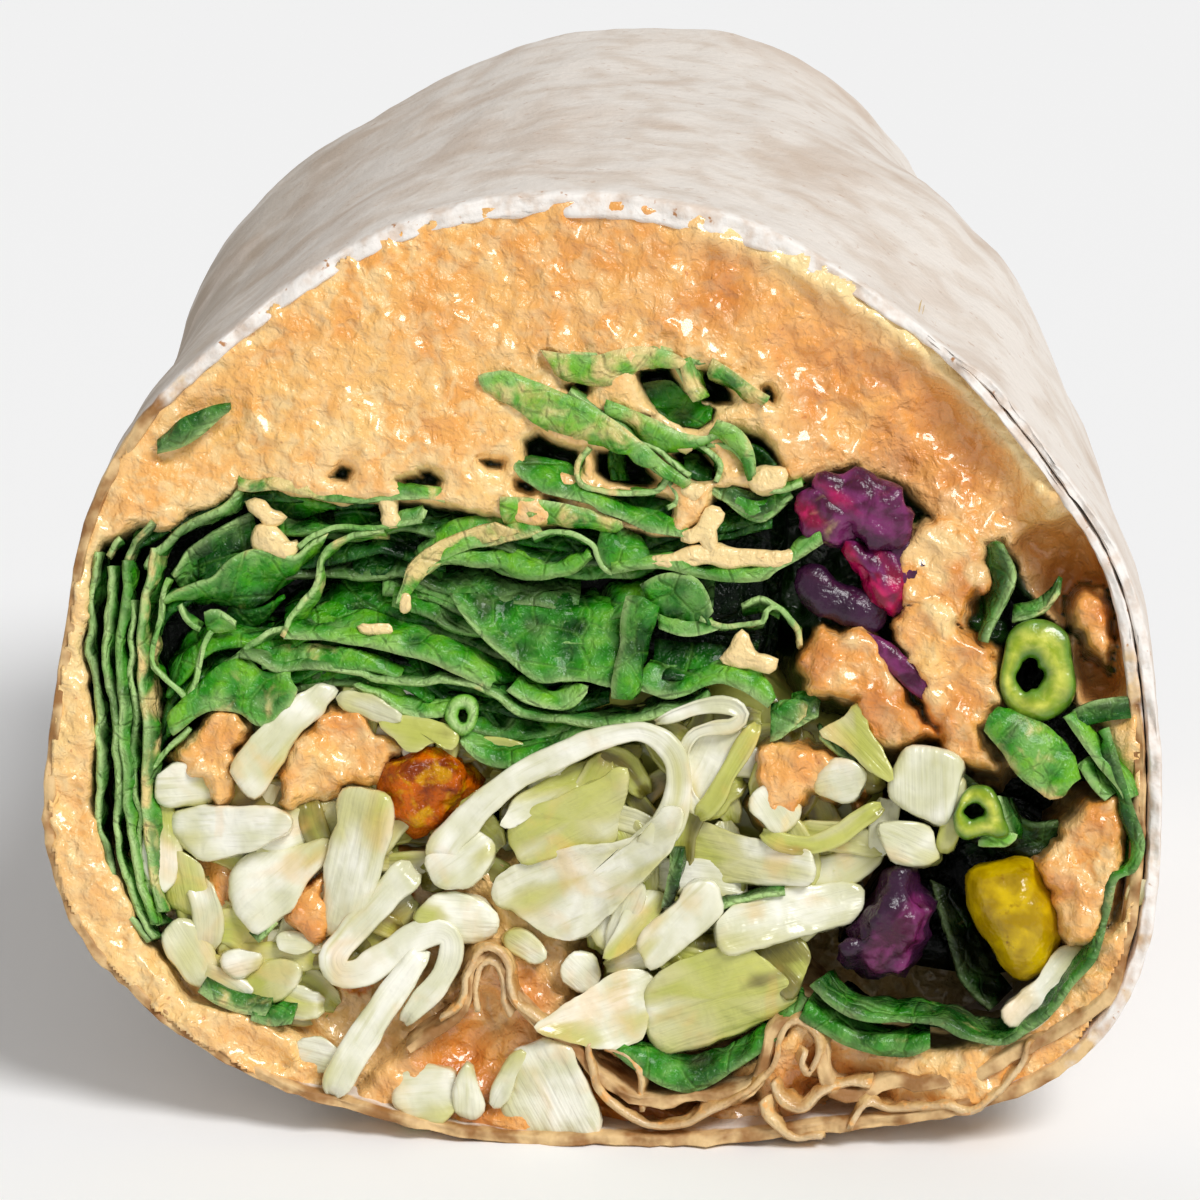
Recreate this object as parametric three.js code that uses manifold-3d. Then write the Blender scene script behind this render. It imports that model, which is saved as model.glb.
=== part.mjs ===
// Half of a hummus wrap, cut across and lying on its side with the cut end towards -Y.
// A flour tortilla is rolled about one and a half turns round hummus, spinach leaves, shredded
// white cabbage and a pocket of mixed greens, and its far end is tucked in. Millimetres, +Z up.
import * as THREE from "three";
import { mergeVertices } from "three/addons/utils/BufferGeometryUtils.js";
import Module from "manifold-3d";

const wasm = await Module();
wasm.setup();

// ---- driving dimensions, mm ----
const FACE_WIDTH = 80.2; // the cut face, side to side
const FACE_HEIGHT = 67; // the cut face, floor to crest
const LENGTH = 97.5; // from the foot of the cut face to the tucked end
const CUT_SLANT = THREE.MathUtils.degToRad(12); // the cut face leans back by this
const SHEET = 1.5; // tortilla thickness
const LAYER_GAP = 0.35; // air between two layers of the roll
const GAP = 0.3; // clearance between neighbouring pieces
const CORE_Z = 31; // height of the roll's middle line
const TUCK_LINE = [[-24, 24], [-8, 34], [10, 33], [25, 20]]; // where the far end is folded in: [x, z]
const TUCK_RADIUS = 1.3; // of the crease along it

// Where along the roll (0 at the cut, 1 at the far end) the sections stand.
const FILLING_STATIONS = [0, 0.28, 0.56, 0.82, 0.905];
const ROOM_STATIONS = [-0.02, ...FILLING_STATIONS, 0.911]; // a room runs past what it is cut from
const SHEET_STATIONS = FILLING_STATIONS.concat(0.955);
const END_STATIONS = [0.916, 0.965, 0.988, 1];

// ---- outlines on the cut face: [across, up] as shares of half the width and of the height ----
const HALF_W = FACE_WIDTH / 2;
const toFace = ([across, up]) => [across * HALF_W, up * FACE_HEIGHT];

const OUTER = [
  [0.0, 0.0], [0.2, 0.0], [0.36, 0.012], [0.55, 0.026], [0.73, 0.052], [0.86, 0.094],
  [0.96, 0.17], [1.0, 0.27], [1.005, 0.375], [0.99, 0.49], [0.94, 0.61], [0.82, 0.716],
  [0.66, 0.828], [0.47, 0.916], [0.25, 0.979], [-0.03, 1.0], [-0.27, 0.985], [-0.47, 0.937],
  [-0.66, 0.856], [-0.83, 0.76], [-0.93, 0.65], [-0.97, 0.514], [-0.995, 0.407],
  [-0.995, 0.303], [-0.93, 0.207], [-0.8, 0.13], [-0.64, 0.069], [-0.47, 0.034], [-0.2, 0.0],
].map(toFace);

// The tortilla's inner end, crumpled under the filling, up to where it meets the rim.
const CRUMPLE = [
  [-0.34, 0.1], [-0.284, 0.124], [-0.242, 0.151], [-0.234, 0.185], [-0.204, 0.2],
  [-0.172, 0.193], [-0.16, 0.169], [-0.142, 0.14], [-0.1, 0.118], [-0.052, 0.109],
  [-0.02, 0.091], [0.0, 0.068], [0.035, 0.055], [0.085, 0.052], [0.15, 0.052], [0.235, 0.054],
  [0.285, 0.064], [0.305, 0.088], [0.33, 0.118], [0.37, 0.13], [0.402, 0.114], [0.412, 0.088],
  [0.43, 0.07], [0.48, 0.066], [0.53, 0.073], [0.58, 0.071], [0.63, 0.08], [0.69, 0.088],
].map(toFace);

const SPINACH = [
  [-0.81, 0.21], [-0.87, 0.3], [-0.91, 0.46], [-0.905, 0.567], [-0.855, 0.625], [-0.72, 0.658],
  [-0.56, 0.706], [-0.36, 0.728], [-0.22, 0.772], [-0.2, 0.818], [-0.08, 0.836],
  [0.135, 0.842], [0.3, 0.8], [0.335, 0.713], [0.35, 0.672], [0.345, 0.55], [0.32, 0.473],
  [0.145, 0.452], [0.0, 0.43], [-0.177, 0.397], [-0.284, 0.424], [-0.446, 0.476],
  [-0.6, 0.443], [-0.736, 0.416], [-0.79, 0.32],
].map(toFace);

// The cabbage's top edge runs up into the spinach, and is cut back by it; so are the greens.
const WHITE_CABBAGE = [
  [-0.8, 0.34], [-0.74, 0.46], [-0.6, 0.49], [-0.446, 0.52], [-0.284, 0.47], [-0.177, 0.44],
  [0.0, 0.47], [0.145, 0.49], [0.287, 0.5], [0.377, 0.46], [0.466, 0.44], [0.53, 0.41],
  [0.53, 0.31], [0.47, 0.285], [0.41, 0.215], [0.33, 0.16],
  [0.2, 0.135], [0.08, 0.13], [-0.03, 0.175], [-0.09, 0.22], [-0.15, 0.255], [-0.21, 0.262],
  [-0.28, 0.245], [-0.34, 0.19], [-0.44, 0.1], [-0.6, 0.095], [-0.73, 0.163], [-0.78, 0.25],
].map(toFace);

const MIXED_GREENS = [
  [0.69, 0.6], [0.76, 0.63], [0.87, 0.57], [0.93, 0.47], [0.95, 0.375], [0.945, 0.3],
  [0.89, 0.19], [0.76, 0.13], [0.6, 0.13], [0.47, 0.15], [0.4, 0.17], [0.46, 0.235],
  [0.5, 0.29], [0.5, 0.41], [0.56, 0.47], [0.65, 0.52],
].map(toFace);

// ---- small whole pieces that show in the cut: centre on the face, size in mm, and how far the
// piece stands out of the cut ----
const PIECES = [
  { name: "red_cabbage_top", at: [0.51, 0.6], size: [10.5, 9, 12], lean: 35, out: 0.4, make: lump },
  { name: "red_cabbage_low", at: [0.505, 0.232], size: [6.5, 7, 7.5], lean: -10, out: 0.3, make: lump },
  { name: "golden_raisin", at: [-0.3, 0.372], size: [8.5, 7, 5.2], lean: 8, out: 0.6, make: raisin },
  { name: "yellow_kernel", at: [0.74, 0.255], size: [7.4, 6, 8.6], lean: 12, out: 0.4, make: kernel },
  { name: "scallion_ring_large", at: [0.782, 0.51], size: [5.6, 6, 6.4], lean: 0, out: 0.2, make: ring },
  { name: "scallion_ring_small", at: [0.69, 0.357], size: [4.6, 6, 4.6], lean: 0, out: 0.2, make: ring },
  { name: "cabbage_stem_piece", at: [0.549, 0.392], size: [4.4, 5, 5], lean: -12, out: 0.2, make: block },
];

const COLOURS = {
  tortilla: [0.9, 0.85, 0.78, 0.75],
  hummus: [0.93, 0.62, 0.27, 0.45],
  spinach: [0.1, 0.32, 0.07, 0.4],
  white_cabbage: [0.84, 0.85, 0.68, 0.35],
  mixed_greens: [0.2, 0.36, 0.08, 0.4],
  red_cabbage_top: [0.33, 0.05, 0.24, 0.35],
  red_cabbage_low: [0.2, 0.06, 0.22, 0.35],
  golden_raisin: [0.66, 0.27, 0.05, 0.35],
  yellow_kernel: [0.72, 0.6, 0.05, 0.35],
  scallion_ring_large: [0.5, 0.62, 0.2, 0.4],
  scallion_ring_small: [0.4, 0.58, 0.2, 0.4],
  cabbage_stem_piece: [0.86, 0.88, 0.72, 0.35],
};

// ---- how the roll changes along its length ----
// Shoulders: degrees round from the right, how far round they spread, how much they swell, where
// along the roll they stand and how far along it they reach.
const SHOULDERS = [
  { angle: 153, spread: 28, growth: 0.086, at: 0.8, reach: 0.28 },
  { angle: 45, spread: 25, growth: 0.114, at: 0.42, reach: 0.25 },
];
// Sides that change steadily towards the far end: narrower at the right, higher on top.
const TAPERS = [
  { angle: 27, spread: 35, growth: -0.2 },
  { angle: 90, spread: 30, growth: 0.031 },
];
const SHOULDER_START = 0.15; // the share of the length over which the shoulders set in
const TAPER_END = 0.9; // where the tapers are complete
const ROUNDING = { from: 0.84, by: 0.3, power: 2.2 }; // how the far end closes in
const LEAN = { by: 3.3, height: 60 }; // mm to the right at the far end, in full from this height up

const bell = (x, middle, width) => Math.exp(-(((x - middle) / width) ** 2));

// How much the roll swells at an angle and a place along it.
function swellAt(angle, t) {
  const sinceCut = THREE.MathUtils.smoothstep(t, 0, SHOULDER_START);
  const towardsEnd = THREE.MathUtils.smoothstep(t, 0, TAPER_END);
  let swell = 1;
  for (const side of SHOULDERS) {
    swell += side.growth * bell(angle, side.angle, side.spread) * bell(t, side.at, side.reach) * sinceCut;
  }
  for (const side of TAPERS) {
    swell += side.growth * bell(angle, side.angle, side.spread) * towardsEnd;
  }
  return swell;
}

// The roll swells at both shoulders behind the cut, narrows on the right, leans a little to the
// right and rounds off at its tucked end. Every filling goes through this, so all keep their fit.
function rollPoint(x, z, t) {
  const angle = THREE.MathUtils.radToDeg(Math.atan2(z - CORE_Z, x));
  const closing = Math.max(0, (t - ROUNDING.from) / (1 - ROUNDING.from)) ** ROUNDING.power;
  const scale = swellAt(angle, t) * (1 - ROUNDING.by * closing);
  const lean = LEAN.by * THREE.MathUtils.smoothstep(t, 0, 1) * THREE.MathUtils.clamp(z / LEAN.height, 0, 1);
  return new THREE.Vector3(
    x * scale + lean,
    z * Math.tan(CUT_SLANT) * (1 - t) + LENGTH * t,
    Math.max(0, CORE_Z + (z - CORE_Z) * scale),
  );
}

// ---- outlines ----
const STRAIGHT = 1e-6; // mm2: a corner that encloses less than this with its neighbours is dropped
const WELD = 1e-4; // mm: points closer than this are one

const curveThrough = (points, closed) => new THREE.CatmullRomCurve3(
  points.map(([x, z]) => new THREE.Vector3(x, 0, z)), closed, "centripetal");

const sampled = (curve, count) => curve.getSpacedPoints(count).map((p) => [p.x, Math.max(0, p.z)]);

function closedOutline(points, count) {
  return sampled(curveThrough(points, true), count).slice(0, -1);
}

function counterClockwise(outline) {
  const flat = outline.map(([x, z]) => new THREE.Vector2(x, z));
  return THREE.ShapeUtils.area(flat) < 0 ? outline.slice().reverse() : outline;
}

// Drops the points in the middle of straight stretches, such as the flat foot.
function withoutStraightPoints(outline) {
  const n = outline.length;
  return outline.filter(([x, z], i) => {
    const [ax, az] = outline[(i + n - 1) % n];
    const [bx, bz] = outline[(i + 1) % n];
    return Math.abs((x - ax) * (bz - az) - (z - az) * (bx - ax)) > STRAIGHT;
  });
}

// Moves each point of a line along its normal: to the right of the way it runs for positive offsets.
function offsetLine(line, offset, closed) {
  const n = line.length;
  return line.map(([x, z], i) => {
    const [ax, az] = closed ? line[(i + n - 1) % n] : line[Math.max(0, i - 1)];
    const [bx, bz] = closed ? line[(i + 1) % n] : line[Math.min(n - 1, i + 1)];
    const along = Math.hypot(bx - ax, bz - az);
    return [x + ((bz - az) / along) * offset, z - ((bx - ax) / along) * offset];
  });
}

// ---- the tortilla's course ----
const RIM_POINTS = 48; // once round, counter-clockwise from the foot
const JOIN = 8; // where the crumpled end joins the rim
const CLIMB = [22, 28]; // where the inner layer rises to be the outer one
const SEAM = RIM_POINTS + 19; // where the outer layer ends
const SAMPLES_PER_POINT = 1.15; // how finely the course is followed

// The sheet's middle line from one rim point to another, an inner layer first and an outer one after.
function rimLine(from, to) {
  const rim = counterClockwise(closedOutline(OUTER, RIM_POINTS));
  const outer = SHEET / 2;
  const inner = outer + SHEET + LAYER_GAP;
  const points = [];
  for (let i = from; i <= to; i += 1) {
    const inset = THREE.MathUtils.lerp(inner, outer, THREE.MathUtils.smoothstep(i, ...CLIMB));
    points.push(offsetLine(rim, -inset, true)[i % RIM_POINTS]);
  }
  return points;
}

// The sheet in section, from its crumpled inner end, round the rim and over itself to the seam.
function sheetOutline(thickness, longer) {
  const points = CRUMPLE.concat(rimLine(JOIN, SEAM));
  const curve = curveThrough(points, false);
  const steps = Math.round(SAMPLES_PER_POINT * points.length);
  const line = Array.from({ length: steps + 1 }, (_, i) => {
    const p = curve.getPoint(i / steps);
    return [p.x, p.z];
  });
  for (const [end, next] of [[0, 1], [steps, steps - 1]]) {
    const [x, z] = line[end];
    const [nx, nz] = line[next];
    const d = Math.hypot(x - nx, z - nz);
    line[end] = [x + ((x - nx) / d) * longer, z + ((z - nz) / d) * longer];
  }
  const right = offsetLine(line, thickness / 2, false);
  const left = offsetLine(line, -thickness / 2, false).reverse();
  return right.concat(left).map(([x, z]) => [x, Math.max(0, z)]);
}

// ---- solids ----
function manifoldOf(positions, triangles) {
  return new wasm.Manifold(new wasm.Mesh({
    numProp: 3,
    vertProperties: new Float32Array(positions),
    triVerts: new Uint32Array(triangles),
  }));
}

// A solid that runs through the roll: one outline carried through the stations.
function throughRoll(wholeOutline, stations) {
  const outline = withoutStraightPoints(counterClockwise(wholeOutline));
  const n = outline.length;
  const positions = [];
  stations.forEach((t) => outline.forEach(([x, z]) => positions.push(...rollPoint(x, z, t).toArray())));
  const triangles = [];
  for (let s = 0; s + 1 < stations.length; s += 1) {
    for (let i = 0; i < n; i += 1) {
      const a = s * n + i;
      const b = s * n + ((i + 1) % n);
      triangles.push(b, a, a + n, b, a + n, b + n);
    }
  }
  const last = (stations.length - 1) * n;
  const flat = outline.map(([x, z]) => new THREE.Vector2(x, z));
  for (const [a, b, c] of THREE.ShapeUtils.triangulateShape(flat, [])) {
    triangles.push(a, b, c, last + a, last + c, last + b);
  }
  return manifoldOf(positions, triangles);
}

const FILLING_POINTS = 32;
const fillingSolid = (points) => throughRoll(closedOutline(points, FILLING_POINTS), FILLING_STATIONS);

// The room a filling takes out of its neighbours: the filling and the clearance round it.
function fillingRoom(points) {
  const outline = counterClockwise(closedOutline(points, FILLING_POINTS));
  return throughRoll(offsetLine(outline, GAP, true), ROOM_STATIONS);
}

function manifoldOfGeometry(geometry) {
  const bare = geometry.clone();
  bare.deleteAttribute("normal");
  bare.deleteAttribute("uv");
  const merged = mergeVertices(bare, WELD);
  return manifoldOf(merged.attributes.position.array, merged.index.array);
}

// Pushes each point of a ball in or out by a smooth, uneven amount.
function uneven(geometry, { roughness, waves }) {
  const [startX, startY] = [1.3, 0.4];
  const position = geometry.attributes.position;
  const p = new THREE.Vector3();
  for (let i = 0; i < position.count; i += 1) {
    p.fromBufferAttribute(position, i);
    const across = Math.sin(waves * p.x + startX) * Math.sin(waves * p.y + startY);
    p.multiplyScalar(1 + roughness * across * Math.cos(waves * p.z));
    position.setXYZ(i, p.x, p.y, p.z);
  }
  return geometry;
}

// Each maker gives a piece of unit size, which is then scaled to its size. grown is true for the
// room it needs, which holds no bore.
const HALF = 0.5;

const turned = (profile, segments) => new THREE.LatheGeometry(
  profile.map(([radius, height]) => new THREE.Vector2(radius, height)), segments);

function lump() {
  return uneven(new THREE.IcosahedronGeometry(HALF, 2), { roughness: 0.16, waves: 9 });
}

function raisin() {
  return uneven(new THREE.SphereGeometry(HALF, 14, 9), { roughness: 0.1, waves: 14 });
}

function kernel() {
  const tip = [0.12, -0.47];
  const shank = [[0.27, -0.25], [0.44, 0.08]];
  const crown = [[0.46, 0.25], [0.36, 0.42], [0.16, 0.49]];
  return turned([[0, -HALF], tip, ...shank, ...crown, [0, HALF]], 12).rotateX(Math.PI / 2);
}

function ring(grown) {
  const bore = 0.22;
  const outside = [[HALF, -HALF], [HALF, HALF]];
  const solid = [[0, -HALF], ...outside, [0, HALF]];
  const open = [[bore, -HALF], ...outside, [bore, HALF], [bore, -HALF]];
  return turned(grown ? solid : open, 16);
}

function block() {
  const bevel = 0.12;
  const side = HALF - bevel;
  const shape = new THREE.Shape();
  shape.moveTo(-side, -side).lineTo(side, -side).lineTo(side, side).lineTo(-side, side);
  const depth = 2 * side;
  return new THREE.ExtrudeGeometry(shape, {
    depth, bevelThickness: bevel, bevelSize: bevel, bevelSegments: 2, steps: 1,
  }).translate(0, 0, -depth / 2);
}

function pieceSolid({ at, size, lean, out, make }, extra) {
  const [x, z] = toFace(at);
  const geometry = make(extra > 0);
  geometry.scale(...size.map((s) => s + 2 * extra));
  geometry.rotateY(THREE.MathUtils.degToRad(lean));
  geometry.rotateX(-CUT_SLANT);
  geometry.translate(x, z * Math.tan(CUT_SLANT) + size[1] / 2 - out, z);
  return manifoldOfGeometry(geometry);
}

// The far end: the tortilla's side is folded in over itself, which leaves a curved tuck line.
function tuckedEnd() {
  const rim = counterClockwise(closedOutline(OUTER, RIM_POINTS));
  const end = throughRoll(offsetLine(rim, -SHEET / 2, true), END_STATIONS);
  const groove = new THREE.Shape().absellipse(0, 0, TUCK_RADIUS, TUCK_RADIUS, 0, 2 * Math.PI);
  const cutter = new THREE.ExtrudeGeometry(groove, {
    extrudePath: curveThrough(TUCK_LINE, false), steps: 16, curveSegments: 4,
  }).translate(0, LENGTH, 0);
  return end.subtract(manifoldOfGeometry(cutter));
}

const largestBody = (solid) => solid.decompose().sort((a, b) => b.volume() - a.volume())[0];

// ---- the roll ----
const solids = { tortilla: throughRoll(sheetOutline(SHEET, 0), SHEET_STATIONS).add(tuckedEnd()) };
for (const piece of PIECES) {
  solids[piece.name] = pieceSolid(piece, 0);
}
let taken = throughRoll(sheetOutline(SHEET + 2 * GAP, GAP), ROOM_STATIONS);
for (const piece of PIECES) {
  taken = taken.add(pieceSolid(piece, GAP));
}
for (const [name, outline] of Object.entries({
  spinach: SPINACH, white_cabbage: WHITE_CABBAGE, mixed_greens: MIXED_GREENS,
})) {
  solids[name] = largestBody(fillingSolid(outline).subtract(taken));
  taken = taken.add(fillingRoom(outline));
}
// The hummus fills what is left inside one turn of the sheet.
const oneTurn = throughRoll(rimLine(JOIN, JOIN + RIM_POINTS), FILLING_STATIONS);
solids.hummus = largestBody(oneTurn.subtract(taken));

function meshOf(name, solid) {
  const made = solid.getMesh();
  const geometry = new THREE.BufferGeometry();
  geometry.setAttribute("position", new THREE.BufferAttribute(made.vertProperties, 3));
  geometry.setIndex(new THREE.BufferAttribute(made.triVerts, 1));
  geometry.computeVertexNormals();
  const [r, g, b, roughness] = COLOURS[name];
  const color = new THREE.Color(r, g, b);
  const material = new THREE.MeshStandardMaterial({ color, roughness, metalness: 0 });
  const mesh = new THREE.Mesh(geometry, material);
  mesh.name = name;
  return mesh;
}

const roll = new THREE.Group();
for (const [name, solid] of Object.entries(solids)) {
  roll.add(meshOf(name, solid));
}

// The frame's origin is under the middle of the whole half.
const extent = new THREE.Box3().setFromObject(roll);
const middle = extent.getCenter(new THREE.Vector3());
roll.position.set(-middle.x, -middle.y, 0);

const wrap = new THREE.Group();
wrap.add(roll);
export default wrap;
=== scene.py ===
"""The looks of half a hummus wrap, cut end to the camera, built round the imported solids.

Lengths are millimetres in the roll's own frame: x across the cut face, y along the roll from the
foot of the cut, z up. They become metres in the object's frame when a mesh is made. Pixels are
those of the 1200 x 1200 photograph, and are turned into places on or behind the cut face.
"""
import itertools
import math
import random

import bmesh
import bpy
import numpy as np
from mathutils import Matrix, Vector


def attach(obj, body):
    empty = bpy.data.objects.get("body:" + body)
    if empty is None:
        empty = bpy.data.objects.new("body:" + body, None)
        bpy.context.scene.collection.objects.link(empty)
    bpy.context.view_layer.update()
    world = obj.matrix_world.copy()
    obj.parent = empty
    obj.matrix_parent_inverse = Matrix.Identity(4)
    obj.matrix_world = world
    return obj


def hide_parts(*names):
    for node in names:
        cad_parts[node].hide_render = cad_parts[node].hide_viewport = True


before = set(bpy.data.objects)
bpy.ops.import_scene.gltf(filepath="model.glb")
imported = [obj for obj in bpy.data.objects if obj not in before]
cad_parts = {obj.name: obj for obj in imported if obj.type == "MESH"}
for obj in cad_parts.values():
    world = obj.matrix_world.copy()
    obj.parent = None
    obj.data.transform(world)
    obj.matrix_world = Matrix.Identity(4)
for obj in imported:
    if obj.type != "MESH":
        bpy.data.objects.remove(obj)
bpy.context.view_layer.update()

# ---- driving sizes, mm ----
HALF_W = 40.1
HEIGHT = 67.0
LENGTH = 97.5
SLANT = math.radians(12)  # how far the cut leans back
CORE_Z = 31.0  # the height of the roll's middle
ORIGIN_X = 0.08  # the object's origin lies this far right of the roll's middle line
ORIGIN_Y = LENGTH / 2

# ---- the camera ----
PHOTO = 1200  # pixels, both ways
ELEVATION = math.radians(15)
AZIMUTH = math.radians(3.2)
DISTANCE = 380.0
PIXELS_PER_MM = 14.0
AIM = np.array([0.0, 7.455, 38.7])
FOCAL_PX = PIXELS_PER_MM * DISTANCE
BACKWARD = np.array([
    math.sin(AZIMUTH) * math.cos(ELEVATION),
    -math.cos(AZIMUTH) * math.cos(ELEVATION),
    math.sin(ELEVATION),
])
RIGHT = np.array([math.cos(AZIMUTH), math.sin(AZIMUTH), 0.0])
UP = np.cross(BACKWARD, RIGHT)
EYE = AIM + BACKWARD * DISTANCE
CUT_NORMAL = np.array([0.0, 1.0, -math.tan(SLANT)])
OUT = np.array([0.0, -math.cos(SLANT), math.sin(SLANT)])  # straight out of the cut face

# ---- outlines on the cut face, as shares of half the width and of the height ----
OUTER = [
    (0.0, 0.0), (0.2, 0.0), (0.36, 0.012), (0.55, 0.026), (0.73, 0.052), (0.86, 0.094),
    (0.96, 0.17), (1.0, 0.27), (1.005, 0.375), (0.99, 0.49), (0.94, 0.61), (0.82, 0.716),
    (0.66, 0.828), (0.47, 0.916), (0.25, 0.979), (-0.03, 1.0), (-0.27, 0.985), (-0.47, 0.937),
    (-0.66, 0.856), (-0.83, 0.76), (-0.93, 0.65), (-0.97, 0.514), (-0.995, 0.407),
    (-0.995, 0.303), (-0.93, 0.207), (-0.8, 0.13), (-0.64, 0.069), (-0.47, 0.034), (-0.2, 0.0),
]
CRUMPLE = [
    (-0.34, 0.1), (-0.284, 0.124), (-0.242, 0.151), (-0.234, 0.185), (-0.204, 0.2),
    (-0.172, 0.193), (-0.16, 0.169), (-0.142, 0.14), (-0.1, 0.118), (-0.052, 0.109),
    (-0.02, 0.091), (0.0, 0.068), (0.035, 0.055), (0.085, 0.052), (0.15, 0.052), (0.235, 0.054),
    (0.285, 0.064), (0.305, 0.088), (0.33, 0.118), (0.37, 0.13), (0.402, 0.114), (0.412, 0.088),
    (0.43, 0.07), (0.48, 0.066), (0.53, 0.073), (0.58, 0.071), (0.63, 0.08), (0.69, 0.088),
]
SPINACH = [
    (-0.81, 0.21), (-0.87, 0.3), (-0.91, 0.46), (-0.905, 0.567), (-0.855, 0.625), (-0.72, 0.658),
    (-0.56, 0.706), (-0.36, 0.728), (-0.22, 0.772), (-0.2, 0.818), (-0.08, 0.836), (0.135, 0.842),
    (0.3, 0.8), (0.335, 0.713), (0.35, 0.672), (0.345, 0.55), (0.32, 0.473), (0.145, 0.452),
    (0.0, 0.43), (-0.177, 0.397), (-0.284, 0.424), (-0.446, 0.476), (-0.6, 0.443), (-0.736, 0.416),
    (-0.79, 0.32),
]
WHITE_CABBAGE = [
    (-0.8, 0.34), (-0.74, 0.46), (-0.6, 0.49), (-0.446, 0.52), (-0.284, 0.47), (-0.177, 0.44),
    (0.0, 0.47), (0.145, 0.49), (0.287, 0.5), (0.377, 0.46), (0.466, 0.44), (0.53, 0.41),
    (0.53, 0.31), (0.47, 0.285), (0.41, 0.215), (0.33, 0.16), (0.2, 0.135), (0.08, 0.13),
    (-0.03, 0.175), (-0.09, 0.22), (-0.15, 0.255), (-0.21, 0.262), (-0.28, 0.245), (-0.34, 0.19),
    (-0.44, 0.1), (-0.6, 0.095), (-0.73, 0.163), (-0.78, 0.25),
]
MIXED_GREENS = [
    (0.69, 0.6), (0.76, 0.63), (0.87, 0.57), (0.93, 0.47), (0.95, 0.375), (0.945, 0.3),
    (0.89, 0.19), (0.76, 0.13), (0.6, 0.13), (0.47, 0.15), (0.4, 0.17), (0.46, 0.235), (0.5, 0.29),
    (0.5, 0.41), (0.56, 0.47), (0.65, 0.52),
]

# ---- where things lie in the photograph: pixel outlines, with depths behind the cut in mm ----
# The hole in the hummus that the greens and the cabbage fill.
FILLING_OUTLINE = [
    (86, 645), (96, 560), (104, 545), (124, 540), (140, 527), (165, 530), (182, 522), (205, 512),
    (228, 500), (240, 488), (262, 490), (300, 496), (345, 503), (400, 501), (440, 505), (470, 512),
    (500, 520), (540, 524), (600, 522), (640, 530), (680, 538), (706, 520), (712, 490), (730, 484),
    (770, 494), (800, 486), (818, 478), (858, 472), (900, 492), (935, 520), (975, 545), (1005, 540),
    (1020, 575), (1040, 610), (1068, 630), (1075, 700), (1105, 730), (1130, 790), (1148, 845),
    (1138, 885), (1113, 930), (1068, 985), (1005, 1036), (940, 1048), (868, 1046), (800, 1022),
    (760, 1060), (700, 1092), (660, 1088), (608, 1055), (575, 1040), (540, 1033), (570, 1000),
    (545, 965), (500, 945), (462, 975), (440, 1010), (400, 1045), (345, 1105), (320, 1098),
    (330, 1050), (300, 1030), (250, 1015), (190, 1000), (150, 950), (130, 905), (108, 860),
    (97, 800), (92, 700),
]
# Gaps between hummus-coated leaves, above the filling.
LEAF_HOLES = {
    "upper_left": [(637, 373), (645, 367), (660, 366), (671, 365), (676, 375), (686, 391), (700, 402),
                   (715, 410), (711, 420), (698, 428), (682, 426), (662, 416), (650, 403), (642, 388)],
    "upper_right": [(688, 391), (692, 374), (704, 371), (717, 374), (722, 383), (731, 395), (731, 404),
                    (715, 406), (698, 400)],
    "rim": [(762, 390), (769, 388), (774, 398), (773, 404), (766, 400)],
    "small": [(566, 385), (577, 382), (590, 379), (589, 390), (583, 400), (572, 392)],
    "left": [(525, 442), (540, 432), (552, 440), (565, 447), (578, 450), (580, 460), (576, 471),
             (562, 468), (545, 462), (528, 462)],
    "left_slit": [(479, 461), (490, 459), (504, 462), (502, 467), (488, 467)],
    "middle": [(594, 450), (612, 450), (630, 452), (642, 462), (652, 474), (659, 482), (648, 487),
               (628, 485), (608, 480), (596, 470)],
    "middle_top": [(634, 436), (642, 422), (650, 420), (654, 432), (664, 438), (666, 446), (655, 450),
                   (642, 446)],
    "right_middle": [(674, 454), (686, 447), (698, 448), (709, 458), (717, 470), (713, 480), (694, 480),
                     (682, 466)],
    "right": [(721, 429), (741, 432), (762, 440), (774, 453), (779, 468), (762, 470), (750, 470),
              (744, 455), (732, 442)],
    "below_middle": [(604, 497), (625, 492), (655, 494), (672, 500), (672, 512), (664, 528), (645, 528),
                     (625, 516), (606, 507)],
    "slit_1": [(420, 472), (430, 471), (441, 479), (438, 485), (425, 485)],
    "slit_2": [(518, 481), (528, 483), (539, 491), (532, 494), (519, 489)],
    "slit_3": [(545, 496), (556, 497), (562, 502), (552, 503)],
    "slit_4": [(397, 480), (418, 477), (438, 482), (436, 487), (410, 487)],
    "slit_5": [(330, 476), (342, 466), (352, 470), (346, 480)],
    "loop_hole": [(485, 994), (494, 998), (506, 1022), (498, 1026), (488, 1012)],
    "under_loop": [(434, 1012), (448, 1000), (452, 1006), (440, 1018)],
    "under_fold": [(733, 1104), (757, 1090), (760, 1110), (750, 1132), (722, 1128)],
    "between_folds": [(812, 1118), (838, 1098), (872, 1090), (886, 1094), (866, 1104), (850, 1124)],
}
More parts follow.
